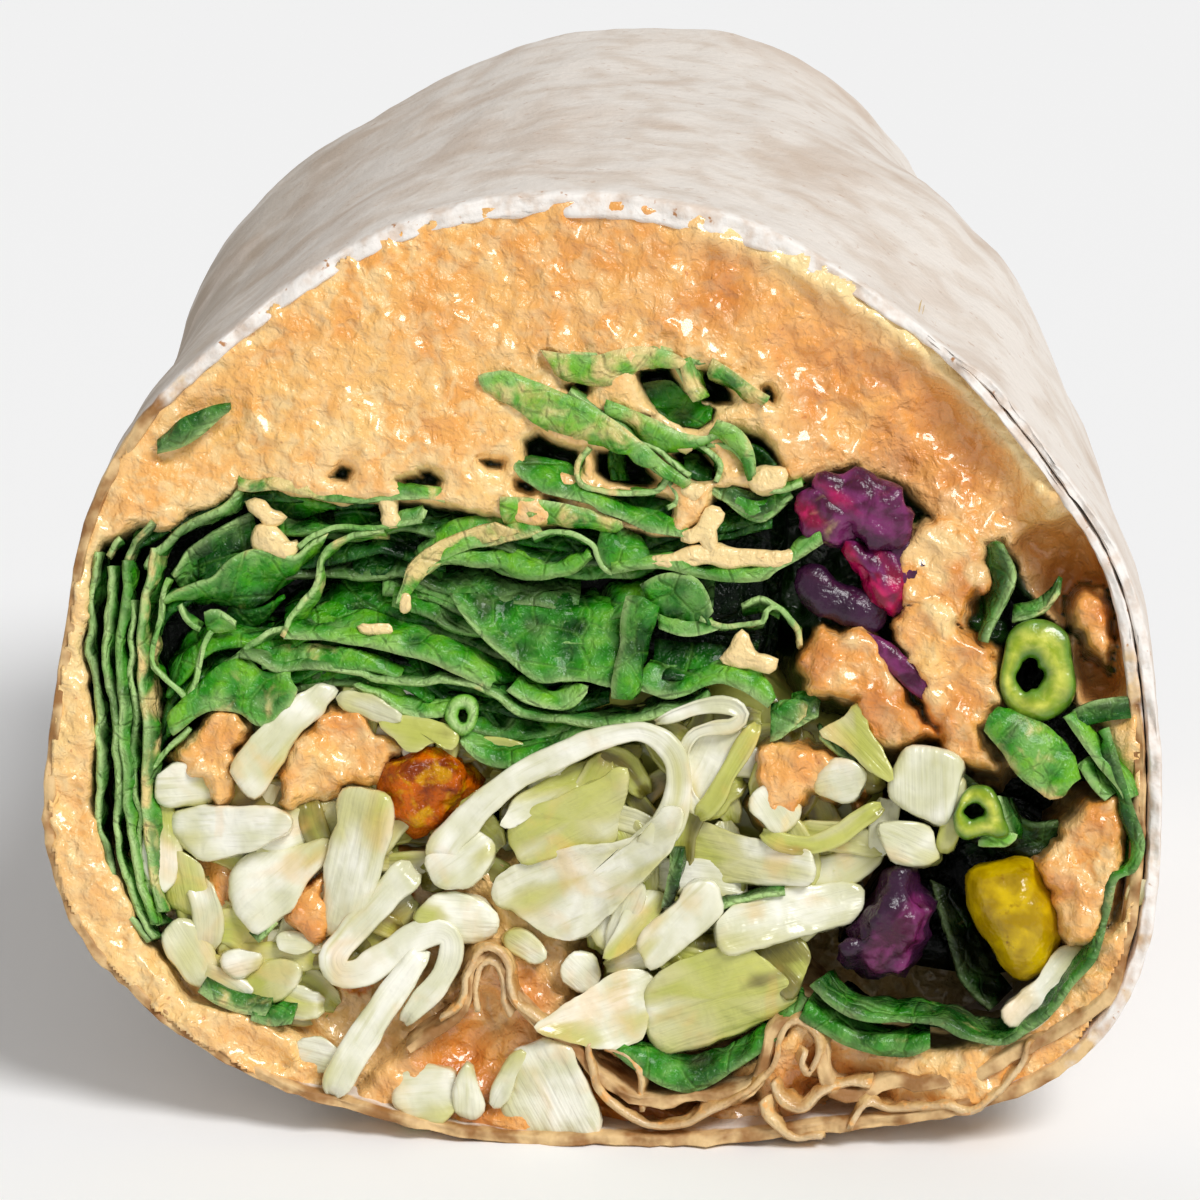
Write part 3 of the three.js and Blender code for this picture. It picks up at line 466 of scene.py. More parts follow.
# Shredded cabbage as flat pieces: outline, depth of the front, thickness in mm, and their look. box is
# 2 for an egg and more for a slab; tilt is how fast the depth grows to the right and downwards.
CABBAGE_PIECES = {
    "stick_left": dict(depth=-0.1, thick=2.6, box=4, outline=[
        (233, 772), (240, 757), (262, 727), (275, 722), (296, 697), (316, 684), (338, 690), (318, 715),
        (300, 730), (285, 752), (272, 772), (262, 790), (253, 797), (243, 790)]),
    "top_white": dict(depth=0.0, thick=1.6, box=3, outline=[
        (338, 698), (352, 693), (372, 697), (388, 708), (402, 718), (396, 722), (375, 720), (358, 713),
        (345, 706)]),
    "top_yellow": dict(depth=-0.1, thick=1.6, box=3, tone=0.2, outline=[
        (378, 722), (402, 716), (425, 719), (454, 726), (457, 742), (450, 752), (440, 740), (428, 742),
        (418, 751), (404, 751), (396, 738)]),
    "left_1": dict(depth=0.7, thick=2, box=3, outline=[
        (158, 775), (175, 766), (195, 763), (212, 772), (216, 795), (205, 802), (170, 804), (156, 798)]),
    "left_2": dict(depth=0.1, thick=2.6, box=3, outline=[
        (172, 815), (200, 808), (235, 810), (270, 811), (292, 818), (290, 832), (262, 845), (232, 855),
        (205, 858), (188, 848), (176, 835)]),
    "left_3": dict(depth=0.9, thick=2.4, box=3, tone=0.6, outline=[
        (146, 812), (168, 802), (180, 830), (178, 860), (172, 885), (160, 893), (150, 880), (144, 850)]),
    "left_4": dict(depth=1.2, thick=2.4, box=3, tone=0.3, outline=[
        (176, 850), (200, 862), (206, 885), (205, 915), (185, 912), (166, 903), (168, 885), (178, 865)]),
    "middle_left": dict(depth=0.6, thick=3.2, box=2.6, outline=[
        (232, 880), (240, 862), (262, 850), (300, 848), (330, 838), (322, 865), (305, 885), (295, 905),
        (270, 925), (258, 935), (240, 915), (233, 895)]),
    "grey_left": dict(depth=1.4, thick=2.4, box=3, tone=0.75, outline=[
        (255, 815), (290, 812), (340, 800), (340, 825), (320, 845), (285, 852), (262, 850)]),
    "upright": dict(depth=-0.4, thick=3.6, box=5, outline=[
        (344, 790), (361, 789), (387, 800), (391, 815), (387, 843), (375, 884), (355, 925), (328, 935),
        (325, 900), (326, 880), (330, 853), (340, 823), (340, 803)]),
    "low_1": dict(depth=0.7, thick=1.8, box=3, outline=[
        (276, 935), (290, 931), (312, 935), (313, 948), (298, 954), (279, 950)]),
    "low_2": dict(depth=0.5, thick=2, box=2.4, outline=[
        (224, 955), (240, 950), (262, 954), (258, 968), (238, 979), (226, 972)]),
    "low_3": dict(depth=0.9, thick=2.4, box=3, tone=0.45, outline=[
        (245, 975), (262, 962), (285, 960), (300, 966), (294, 985), (275, 1001), (250, 1000)]),
    "low_4": dict(depth=1.0, thick=3, box=3, tone=0.5, outline=[
        (163, 935), (178, 919), (196, 924), (210, 944), (218, 972), (208, 987), (190, 981), (170, 957)]),
    "low_5": dict(depth=0.8, thick=1.5, box=3, outline=[
        (298, 1042), (320, 1038), (338, 1052), (334, 1068), (310, 1072), (296, 1062)]),
    "curl_end": dict(depth=-0.5, thick=3, box=2.6, outline=[
        (426, 858), (438, 845), (455, 832), (474, 828), (488, 838), (491, 855), (484, 874), (468, 888),
        (450, 888), (436, 884), (427, 872)]),
    "oval": dict(depth=0.1, thick=3, box=2.3, outline=[
        (414, 918), (430, 900), (455, 893), (480, 899), (495, 915), (496, 930), (478, 941), (450, 940),
        (430, 935)]),
    "broad_loop_leaf": dict(depth=0.3, thick=1.4, box=5, bow=0.8, outline=[
        (491, 894), (495, 878), (522, 864), (573, 849), (614, 846), (644, 836), (668, 806), (682, 810),
        (672, 845), (648, 872), (618, 902), (590, 931), (563, 940), (536, 929), (520, 914), (514, 905),
        (496, 902)]),
    "loop_inner_face": dict(depth=1.2, thick=1.2, box=4, tone=0.6, outline=[
        (498, 826), (518, 800), (545, 785), (575, 768), (610, 752), (642, 744), (640, 756), (610, 775),
        (570, 792), (535, 808), (512, 828)]),
    "inner_stick": dict(depth=0.5, thick=1.8, box=6, tone=0.25, outline=[
        (508, 838), (513, 825), (532, 813), (563, 798), (624, 768), (623, 800), (615, 841), (590, 849),
        (573, 848), (522, 863)]),
    "under_loop_1": dict(depth=1.0, thick=2, box=3, outline=[
        (505, 935), (520, 929), (538, 940), (546, 958), (535, 963), (515, 953), (505, 945)]),
    "under_loop_2": dict(depth=0.9, thick=2.4, box=2.3, outline=[
        (562, 965), (575, 954), (595, 956), (600, 975), (592, 992), (575, 990), (562, 980)]),
    "thin_stick": dict(depth=0.6, thick=1.4, box=3, outline=[
        (642, 880), (647, 892), (628, 930), (613, 960), (606, 955), (612, 920), (625, 895)]),
    "yellow_stick": dict(depth=0.2, thick=1.6, box=4, tone=0.25, outline=[
        (603, 958), (608, 944), (630, 905), (645, 890), (665, 897), (655, 918), (640, 938), (620, 955)]),
    "white_stick": dict(depth=-0.3, thick=2.4, box=6, outline=[
        (638, 944), (650, 969), (668, 957), (700, 932), (721, 908), (712, 884), (698, 882), (687, 888),
        (680, 902), (656, 922)]),
    "ring_body": dict(depth=0.7, thick=2, box=4, tone=0.9, outline=[
        (684, 742), (700, 733), (722, 735), (740, 728), (742, 742), (726, 765), (708, 790), (700, 812),
        (690, 810), (686, 790), (680, 765)]),
    "tips_1": dict(depth=-0.1, thick=2, box=2.6, smear=0.35, outline=[
        (751, 810), (752, 796), (763, 788), (775, 778), (782, 792), (795, 797), (800, 808), (795, 822),
        (783, 832), (769, 830), (765, 822)]),
    "tips_2": dict(depth=-0.1, thick=2.2, box=2.8, smear=0.3, outline=[
        (815, 792), (820, 775), (835, 760), (850, 762), (864, 772), (864, 785), (852, 800), (835, 798)]),
    "triangle_leaf": dict(depth=-0.3, thick=0.8, box=8, tone=0.2, outline=[
        (820, 731), (840, 722), (859, 705), (865, 731), (881, 751), (893, 783), (865, 762), (844, 747)]),
    "cube_2": dict(depth=-0.1, thick=3, box=6, tone=0.8, outline=[
        (878, 823), (927, 826), (937, 848), (942, 858), (924, 864), (890, 861), (884, 842)]),
    "block_1": dict(depth=0.9, thick=2.4, box=6, tone=0.65, outline=[
        (692, 852), (688, 835), (686, 824), (702, 822), (740, 838), (780, 846), (811, 852), (813, 870),
        (808, 884), (770, 882), (730, 880), (700, 887), (692, 880)]),
    "block_2": dict(depth=0.5, thick=2.2, box=6, outline=[
        (716, 922), (735, 905), (760, 893), (800, 889), (845, 884), (863, 890), (860, 910), (850, 920),
        (820, 929), (780, 938), (750, 946), (730, 953), (722, 945)]),
    "block_3": dict(depth=0.7, thick=2.8, box=6, tone=0.22, outline=[
        (648, 992), (660, 975), (680, 962), (720, 950), (748, 947), (770, 966), (790, 985), (800, 998),
        (780, 1012), (740, 1032), (700, 1048), (660, 1053), (650, 1032)]),
    "block_3_dark": dict(depth=1.2, thick=2.4, box=4, tone=0.0, outline=[
        (748, 944), (775, 938), (800, 940), (812, 955), (800, 985), (790, 1000), (772, 985)]),
    "triangle": dict(depth=-0.2, thick=1.2, box=8, bow=0.4, outline=[
        (533, 1027), (555, 1015), (586, 994), (618, 973), (646, 971), (653, 985), (645, 1022),
        (641, 1040), (620, 1047), (590, 1046), (560, 1036)]),
    "chunk_bottom": dict(depth=0.2, thick=5, box=4, smear=0.15, outline=[
        (516, 1049), (546, 1041), (571, 1049), (589, 1092), (602, 1117), (598, 1142), (560, 1146),
        (531, 1145), (506, 1132), (503, 1104), (513, 1080)]),
    "chunk_left": dict(depth=0.7, thick=3, box=3, tone=0.7, outline=[
        (402, 1073), (428, 1064), (454, 1070), (458, 1104), (442, 1123), (408, 1117), (396, 1101)]),
    "chunk_middle": dict(depth=0.2, thick=3, box=2.5, tone=0.9, outline=[
        (467, 1062), (478, 1088), (484, 1108), (472, 1122), (456, 1112), (456, 1094), (461, 1078)]),
    "chunk_leg": dict(depth=0.1, thick=2, box=3, outline=[
        (513, 1058), (527, 1050), (518, 1070), (506, 1096), (497, 1109), (490, 1104), (500, 1080)]),
    "pocket_white": dict(depth=0.5, thick=2.4, box=4, tone=0.7, outline=[
        (1003, 1011), (1017, 998), (1036, 982), (1059, 949), (1082, 947), (1076, 969), (1059, 1001),
        (1033, 1029), (1007, 1024)]),
    "rim_bit": dict(depth=0.2, thick=1.2, box=4, tone=0.4, smear=0.3, outline=[
        (1127, 900), (1130, 884), (1148, 880), (1144, 895), (1138, 907)]),
}
# Strips of cabbage: path with the strip's width at each point, in pixels.
CABBAGE_STRIPS = {
    "loop": dict(depth=-0.6, thick=2.2, path=[
        (440, 862, 34), (446, 845, 30), (467, 821, 27), (491, 796, 25), (522, 774, 24), (552, 759, 22),
        (583, 745, 21), (614, 735, 19), (640, 732, 18), (661, 741, 20), (675, 759, 23), (679, 785, 27),
        (674, 812, 30), (661, 834, 30), (644, 852, 28)]),
    "s_strip": dict(depth=-0.4, thick=2.4, path=[
        (415, 868, 30), (394, 886, 30), (370, 912, 28), (345, 940, 26), (333, 958, 28), (340, 974, 28),
        (362, 972, 30), (386, 956, 30), (410, 940, 30), (434, 932, 28), (450, 938, 24), (450, 962, 24),
        (437, 985, 24), (420, 1003, 20), (404, 1022, 12)]),
    "leg": dict(depth=-0.6, thick=2.2, path=[
        (424, 950, 16), (406, 975, 22), (386, 1003, 26), (364, 1037, 30), (346, 1066, 30),
        (332, 1096, 22)]),
    "ring_top": dict(depth=-0.2, thick=1.8, path=[
        (655, 722, 8), (680, 713, 14), (708, 705, 15), (731, 706, 15), (742, 716, 14), (732, 726, 14),
        (712, 728, 13), (694, 734, 12), (684, 750, 12), (684, 775, 14), (690, 798, 14),
        (700, 812, 12)]),
    "ring_arm": dict(depth=-0.3, thick=1.6, tone=0.25, path=[
        (699, 816, 12), (714, 800, 15), (727, 776, 17), (741, 752, 18), (757, 724, 10)]),
    "curved": dict(depth=-0.2, thick=1.6, tone=0.15, path=[
        (762, 832, 12), (785, 843, 16), (812, 845, 17), (838, 835, 18), (862, 818, 17),
        (882, 806, 14)]),
}
# Thin layers of the sheet crumpled up at the foot of the cut, as rows like the leaves.
SHEET_FOLDS = {
    "loop": (-0.5, [(440, 1020), (455, 1009), (463, 995), (465, 978), (470, 960), (484, 949), (500, 955),
                     (509, 972), (510, 992), (516, 1006), (530, 1018), (545, 1030)]),
    "loop_inner": (0.1, [(479, 1012), (475, 990), (480, 970), (492, 965), (500, 980), (500, 1000),
                          (508, 1018)]),
    "left": (-0.4, [(587, 1046), (592, 1082), (613, 1108), (649, 1125), (680, 1126), (715, 1113),
                     (746, 1095), (764, 1077), (776, 1055), (781, 1034), (795, 1023), (812, 1033),
                     (817, 1055), (809, 1077), (800, 1067), (804, 1054)]),
    "left_inner": (0.2, [(604, 1050), (626, 1060), (639, 1080), (643, 1112)]),
    "second": (-0.4, [(757, 1104), (766, 1122), (790, 1137), (822, 1136)]),
    "second_inner": (-0.2, [(772, 1084), (780, 1106), (804, 1113), (826, 1096), (848, 1085),
                             (870, 1087)]),
    "lower": (-0.5, [(850, 1130), (866, 1106), (897, 1110), (941, 1107), (967, 1113), (985, 1103),
                      (1007, 1082), (1020, 1062), (1027, 1044)]),
}

# Greens at the right: spring onion, leaves and dark bits. The same rows as the spinach.
GREEN_LEAVES = {
    "ring_upper": dict(tone=0.42, smear=0.2, edge=0.5, thick=0.4, rows=[
        (-0.8, [(1109, 727), (1122, 771), (1135, 811), (1145, 844), (1136, 872), (1118, 880), (1112, 903),
                (1104, 936), (1095, 962), (1072, 988), (1056, 1011), (1030, 1031), (1003, 1046),
                (964, 1039), (938, 1026), (905, 1023), (862, 1021), (829, 1005), (810, 985)]),
        (-0.5, [(1100, 730), (1113, 776), (1124, 815), (1132, 845), (1122, 866), (1108, 874), (1105, 898),
                (1096, 930), (1086, 955), (1065, 980), (1048, 1002), (1024, 1022), (1001, 1036),
                (966, 1030), (941, 1018), (907, 1014), (865, 1012), (836, 996), (820, 978)]),
        (3.0, [(1094, 735), (1106, 780), (1115, 818), (1122, 845), (1112, 862), (1100, 870), (1096, 893),
               (1087, 922), (1076, 946), (1056, 968), (1040, 990), (1017, 1008), (998, 1022),
               (968, 1014), (946, 1003), (910, 999), (872, 996), (846, 984), (832, 970)])]),
    "ring_face": dict(tone=0.3, edge=0, rows=[
        (1.2, [(990, 1040), (950, 1028), (900, 1018), (860, 1010), (830, 992)]),
        (4.5, [(985, 1020), (950, 1010), (905, 1004), (868, 998), (845, 985)])]),
    "second": dict(tone=0.4, smear=0.1, edge=0.5, rows=[
        (-0.3, [(800, 1018), (823, 1034), (862, 1051), (905, 1057), (930, 1048)]),
        (-0.2, [(806, 1004), (830, 1020), (865, 1035), (903, 1038), (930, 1034)]),
        (2.0, [(812, 994), (836, 1008), (868, 1022), (903, 1026), (930, 1026)])]),
    "bottom_leaf": dict(tone=0.5, edge=0.6, rows=[
        (0.3, [(612, 1052), (640, 1073), (672, 1090), (700, 1090), (735, 1070), (770, 1046),
               (795, 1021), (808, 998)]),
        (0.6, [(622, 1048), (650, 1062), (680, 1074), (706, 1072), (738, 1056), (768, 1034),
               (790, 1012), (802, 994)]),
        (2.2, [(640, 1045), (680, 1056), (720, 1048), (760, 1025), (785, 1003), (800, 985)])]),
    "strip_1": dict(tone=0.75, smear=0.2, rows=[
        (-0.6, [(1063, 717), (1079, 739), (1095, 762), (1115, 785), (1125, 801)]), (-0.5, (8, -4)),
        (1.5, (13, -6))]),
    "strip_2": dict(tone=0.7, rows=[
        (-0.2, [(1077, 765), (1092, 788), (1105, 801)]), (0.0, (8, -6)), (1.5, (14, -9))]),
    "teal_leaf": dict(tone=0.35, rows=[
        (-0.3, [(1072, 711), (1090, 702), (1110, 698), (1128, 697)]),
        (-0.2, [(1082, 727), (1098, 723), (1115, 720), (1131, 719)])]),
    "stem_leaf": dict(tone=0.35, rows=[
        (0.0, [(1003, 544), (1013, 560), (1017, 580), (1010, 598), (1001, 612), (993, 628), (989, 643)]),
        (0.5, (-9, -3)), (2.5, [(985, 550), (983, 570), (982, 590), (980, 602), (978, 612), (980, 622),
                                (981, 630)])]),
    "behind_stem": dict(tone=0.4, smear=0.2, rows=[
        (0.8, [(1012, 622), (1030, 618), (1048, 606), (1060, 594)]), (1.6, (2, -16))]),
    "dark_bit_1": dict(tone=0.2, rows=[
        (0.7, [(820, 738), (834, 752), (850, 762), (860, 758)]), (1.2, (-2, -14))]),
    "patch_1": dict(tone=0.6, smear=0.3, rows=[
        (0.6, [(770, 742), (782, 738), (796, 726), (806, 716)]),
        (0.9, [(772, 704), (784, 700), (798, 700), (808, 702)])]),
    "patch_2": dict(tone=0.5, smear=0.3, rows=[
        (0.9, [(790, 732), (806, 724), (818, 716)]), (1.4, [(792, 694), (806, 692), (820, 700)])]),
    "green_sliver": dict(tone=0.2, thick=0.9, rows=[
        (0.3, [(672, 846), (671, 870), (666, 892), (663, 908)]),
        (0.1, [(685, 847), (684, 868), (678, 890), (670, 906)])]),
    "slit": dict(tone=0.25, rows=[
        (0.2, [(716, 910), (735, 903), (760, 897), (785, 894)]), (1.5, (0, -7))]),
    "yellow_piece": dict(tone=0.7, smear=0.4, thick=0.7, rows=[
        (-0.2, [(986, 729), (1004, 750), (1022, 776), (1046, 796), (1060, 794)]),
        (-0.6, [(989, 715), (1013, 733), (1036, 755), (1056, 775), (1071, 786)]),
        (-0.1, [(998, 711), (1020, 716), (1043, 725), (1069, 748), (1075, 780)])]),
    "small_ring_side": dict(tone=0.4, thick=0.6, rows=[
        (0.6, [(996, 796), (1002, 815), (1006, 838)]), (2.6, [(1008, 800), (1015, 816), (1016, 838)])]),
    "deep_1": dict(tone=0.1, edge=0, rows=[
        (6.0, [(1000, 800), (1040, 820), (1060, 860)]), (5.0, [(960, 850), (980, 880), (1010, 900)])]),
    "pocket_back": dict(tone=0.2, edge=0.4, rows=[
        (3.0, [(960, 770), (1000, 800), (1030, 822), (1058, 820)]),
        (3.6, [(965, 840), (1000, 850), (1030, 856), (1060, 850)])]),
    "pocket_left": dict(tone=0.15, edge=0.3, rows=[
        (4.0, [(930, 880), (945, 930), (960, 980), (990, 1010)]),
        (6.0, [(965, 900), (980, 940), (995, 970), (1010, 990)])]),
}
GREEN_BITS = {
    "flake": dict(depth=0.4, thick=0.9, box=5, outline=[
        (978, 846), (984, 838), (1000, 836), (1018, 835), (1008, 844), (992, 845)]),
}
# A cut leaf stalk that sits on the spinach, and the block of cabbage stem beside the greens.
STALK_RING = dict(depth=-0.2, length=3.0, hole=(463, 716), hole_size=(4, 6), outline=[
    (444, 716), (450, 700), (463, 694), (475, 698), (479, 710), (475, 727), (464, 736), (452, 730)])
STEM_BLOCK = {
    "front": dict(depth=-0.4, thick=4.2, box=8, tone=0.9, relief=0.16, outline=[
        (908, 750), (922, 748), (949, 754), (962, 764), (955, 784), (944, 824), (922, 818), (890, 796),
        (892, 784), (898, 766)]),
    "side": dict(depth=0.7, thick=4.0, box=6, tone=0.5, relief=0.16, outline=[
        (955, 775), (964, 780), (958, 830), (950, 850), (938, 850), (942, 826)]),
}
SCALLION_RINGS = {
    "scallion_ring_large": dict(depth=-0.2, length=6.2, hole=(1030, 675), hole_size=(12, 16), outline=[
        (1004, 652), (1008, 635), (1018, 624), (1034, 619), (1052, 622), (1068, 635), (1072, 658),
        (1076, 690), (1066, 710), (1046, 721), (1022, 721), (1006, 705), (999, 682)]),
    "scallion_ring_small": dict(depth=-0.5, length=6.0, hole=(974, 811), hole_size=(9, 8), outline=[
        (957, 806), (963, 793), (974, 785), (990, 787), (1000, 801), (1005, 818), (1010, 834),
        (1000, 839), (985, 836), (967, 840), (956, 833), (953, 817)]),
}
RED_TOP = {
    "violet": dict(depth=-0.3, thick=2.6, box=2.6, tone=0.55, relief=0.75, outline=[
        (818, 484), (832, 476), (858, 473), (876, 482), (893, 496), (904, 515), (900, 537), (880, 546),
        (858, 532), (838, 516), (822, 502)]),
    "left": dict(depth=-0.2, thick=2.4, box=2.4, tone=0.75, relief=0.75, smear=0.25, outline=[
        (795, 505), (815, 497), (838, 510), (852, 530), (845, 548), (822, 541), (808, 532), (799, 518)]),
    "magenta": dict(depth=-0.1, thick=2.6, box=2.4, tone=1.0, relief=0.75, outline=[
        (846, 552), (866, 545), (890, 554), (902, 575), (900, 600), (893, 613), (880, 608), (868, 590),
        (856, 572)]),
    "dark": dict(depth=0.6, thick=2.2, box=2.4, tone=0.1, relief=0.4, outline=[
        (797, 578), (815, 568), (838, 580), (865, 592), (888, 614), (874, 632), (846, 620), (820, 612),
        (802, 598)]),
    "upper_right": dict(depth=0.3, thick=2.2, box=2.4, tone=0.45, relief=0.75, outline=[
        (895, 535), (915, 545), (925, 560), (918, 585), (905, 595), (896, 570)]),
    "right": dict(depth=0.7, thick=1.8, box=2.6, tone=0.2, relief=0.4, outline=[
        (936, 550), (955, 545), (976, 562), (974, 590), (957, 600), (942, 588), (936, 568)]),
    "strip": dict(depth=0.1, thick=1.2, box=2.6, tone=0.35, relief=0.3, outline=[
        (868, 634), (882, 640), (905, 655), (922, 675), (932, 695), (924, 699), (908, 688), (890, 670),
        (874, 652)]),
}
RED_LOW = {
    "low": dict(depth=-0.1, thick=5.5, box=3.4, tone=0.12, relief=0.75, outline=[
        (892, 873), (908, 870), (918, 888), (928, 909), (927, 925), (925, 936), (918, 955), (911, 969),
        (895, 972), (862, 965), (836, 955), (850, 948), (859, 942), (869, 906), (880, 888)]),
}
RAISIN = {
    "raisin": dict(depth=-0.6, thick=6.5, box=2.2, relief=0.75, outline=[
        (377, 786), (384, 768), (402, 756), (425, 751), (452, 755), (472, 768), (480, 785), (474, 800),
        (458, 813), (432, 821), (408, 822), (388, 812)]),
}
KERNEL = {
    "kernel": dict(depth=-0.5, thick=7, box=2.2, relief=0.14, outline=[
        (967, 882), (974, 871), (1003, 863), (1030, 861), (1043, 883), (1055, 905), (1059, 936),
        (1050, 958), (1043, 969), (1023, 979), (1010, 972), (990, 942), (975, 918)]),
}
# Bits of hummus that cling to the leaves.
HUMMUS_BITS = {
    "fold": dict(depth=-0.1, thick=1.6, box=2.6, outline=[
        (253, 545), (256, 532), (262, 526), (272, 528), (280, 536), (290, 545), (298, 543), (296, 553),
        (285, 558), (270, 552), (256, 554)]),
    "drip_1": dict(depth=0.0, thick=1.0, box=2.6, outline=[
        (252, 505), (262, 506), (272, 512), (282, 516), (274, 522), (268, 524), (260, 516)]),
    "drip_2": dict(depth=0.0, thick=1.0, box=2.6, outline=[
        (380, 496), (394, 498), (392, 514), (396, 521), (388, 523), (384, 512)]),
    "seed": dict(depth=0.1, thick=1.0, box=2.8, outline=[
        (361, 628), (372, 624), (388, 624), (391, 632), (380, 636), (366, 634)]),
    "band": dict(depth=-0.1, thick=1.2, box=2.8, outline=[
        (650, 562), (675, 556), (700, 548), (720, 546), (745, 551), (775, 555), (796, 556), (780, 562),
        (740, 564), (700, 564)]),
    "t_drip": dict(depth=-0.3, thick=1.4, box=2.8, outline=[
        (682, 534), (696, 526), (702, 516), (712, 510), (722, 513), (720, 522), (714, 530), (714, 542),
        (710, 552), (703, 548), (700, 541), (686, 541)]),
    "bit_1": dict(depth=-0.2, thick=1.4, box=2.6, outline=[
        (685, 487), (696, 485), (706, 486), (702, 496), (694, 502), (687, 497)]),
    "bit_2": dict(depth=-0.2, thick=1.4, box=2.6, outline=[
        (755, 474), (768, 470), (784, 474), (782, 485), (768, 489), (756, 484)]),
    "yellow_strip": dict(depth=-0.1, thick=1.4, box=2.6, outline=[
        (652, 417), (664, 419), (678, 428), (691, 444), (686, 453), (672, 442), (660, 432)]),
    "triangle": dict(depth=-0.1, thick=1.4, box=3, outline=[
        (742, 632), (750, 645), (757, 655), (774, 662), (768, 669), (748, 670), (721, 663), (730, 648)]),
    "drop": dict(depth=-0.2, thick=0.8, box=2.4, outline=[
        (403, 596), (409, 598), (408, 608), (401, 610), (399, 602)]),
}


# ---- numbers ----
# The noise's cells are turned, so that they don't line up with the roll.
GRAIN = np.array(Matrix.Rotation(0.7, 3, "Y") @ Matrix.Rotation(0.5, 3, "X") @ Matrix.Rotation(0.4, 3, "Z"))
AXIS_PRIMES = (73856093, 19349663, 83492791)
SEED_PRIME = 2654435761
STIR_PRIME = 1274126177


def smoothstep(x, low, high):
    """0 at low, 1 at high, smooth between. low may be the larger."""
    s = np.clip((np.asarray(x, float) - low) / (high - low), 0, 1)
    return s * s * (3 - 2 * s)


def bell(x, middle, width):
    return np.exp(-(((np.asarray(x, float) - middle) / width) ** 2))


def signed_power(x, power):
    return np.sign(x) * np.abs(x) ** power


def noise(points, seed=0):
    """Smooth random numbers from -1 to 1 at an array of points, one cell per unit."""
    points = np.asarray(points, float) @ GRAIN
    cell = np.floor(points).astype(np.int64)
    part = points - cell
    part = part * part * (3 - 2 * part)
    total = np.zeros(points.shape[:-1])
    for corner in itertools.product((0, 1), repeat=3):
        c = cell + np.array(corner)
        key = (seed + 7) * SEED_PRIME
        for axis, prime in enumerate(AXIS_PRIMES):
            key = key ^ c[..., axis] * prime
        key = (key ^ (key >> 13)) * STIR_PRIME & 0xFFFFFFFF
        value = ((key ^ (key >> 16)) & 0xFFFF) / 32767.5 - 1
        weight = np.prod(np.where(np.array(corner) == 1, part, 1 - part), axis=-1)
        total += weight * value
    return total


def fractal(points, size, octaves=3, seed=0):
    """Noise of several sizes, the largest of them size mm."""
    total = 0
    for octave in range(octaves):
        total = total + noise(np.asarray(points) * 2 ** octave / size, seed + 17 * octave) / 2 ** octave
    return total


def shift(points, size, octaves, seeds, reach):
    """A smooth random shift with one part for each seed."""
    return np.stack([fractal(points, size, octaves, seed) for seed in seeds], axis=-1) * reach


# ---- lines ----
def travelled(points):
    """How far along a line each of its points lies."""
    return np.concatenate([[0], np.cumsum(np.linalg.norm(np.diff(points, axis=0), axis=1))])


def smooth_line(points, count, closed=False):
    """A curve through the points, as count points with even spacing."""
    p = np.asarray(points, float)
    if closed:
        p = np.vstack([p[-1:], p, p[:2]])
    else:
        p = np.vstack([2 * p[0] - p[1], p, 2 * p[-1] - p[-2]])
    dense = []
    steps = np.linspace(0, 1, 12, endpoint=False)[:, None]
    for a, b, c, d in zip(p[:-3], p[1:-2], p[2:-1], p[3:]):
        dense.append(0.5 * (2 * b + (c - a) * steps + (2 * a - 5 * b + 4 * c - d) * steps ** 2
                            + (3 * b - a - 3 * c + d) * steps ** 3))
    dense = np.vstack(dense + [p[-2][None, :]])
    travel = travelled(dense)
    stops = np.linspace(0, travel[-1], count + 1)[:-1] if closed else np.linspace(0, travel[-1], count)
    return np.stack([np.interp(stops, travel, dense[:, k]) for k in range(p.shape[1])], axis=1)


def cornered_line(points, count):
    """A closed outline with count points, its corners only slightly rounded."""
    p = np.asarray(points, float)
    p = np.vstack([p, p[:1]])
    travel = travelled(p)
    stops = np.linspace(0, travel[-1], count, endpoint=False)
    line = np.stack([np.interp(stops, travel, p[:, k]) for k in range(2)], axis=1)
    return (np.roll(line, 1, axis=0) + 2 * line + np.roll(line, -1, axis=0)) / 4


def line_length(points):
    return np.linalg.norm(np.diff(np.asarray(points, float), axis=0), axis=1).sum()


def steps_along(points, step):
    """How many steps of this many mm a line of pixels has."""
    return int(line_length(points) / PIXELS_PER_MM / step)


def winding(outline):
    """The way round that a closed outline runs: 1 or -1."""
    ahead = np.roll(outline, -1, axis=0)
    return np.sign(np.sum(outline[:, 0] * ahead[:, 1] - ahead[:, 0] * outline[:, 1]))


def left_of(way):
    return np.array([-way[1], way[0]])


def offset_line(line, offset, closed=False):
    """Moves a line in the face to the right of the way it runs."""
    if closed:
        ahead = np.roll(line, -1, axis=0) - np.roll(line, 1, axis=0)
    else:
        ahead = np.gradient(line, axis=0)
    ahead /= np.linalg.norm(ahead, axis=1, keepdims=True)
    side = np.stack([ahead[:, 1], -ahead[:, 0]], axis=1)
    return line + side * np.reshape(offset, (-1, 1))


# ---- places ----
# How the roll swells and narrows along its length, as the solids have it: share of its size, degrees
# round from the right and width in degrees, then for a shoulder its place and reach along the roll.
SHOULDERS = [(0.086, 153, 28, 0.8, 0.28), (0.114, 45, 25, 0.42, 0.25)]
TAPERS = [(-0.2, 27, 35), (0.031, 90, 30)]
SHOULDER_START = 0.15  # the share of the length over which the shoulders set in
TAPER_END = 0.9  # where the tapers are complete
ROUNDING = dict(start=0.84, over=0.16, by=0.3, power=2.2)  # how the far end closes in
LEAN = dict(by=3.3, height=60)  # mm to the right at the far end, in full from this height up


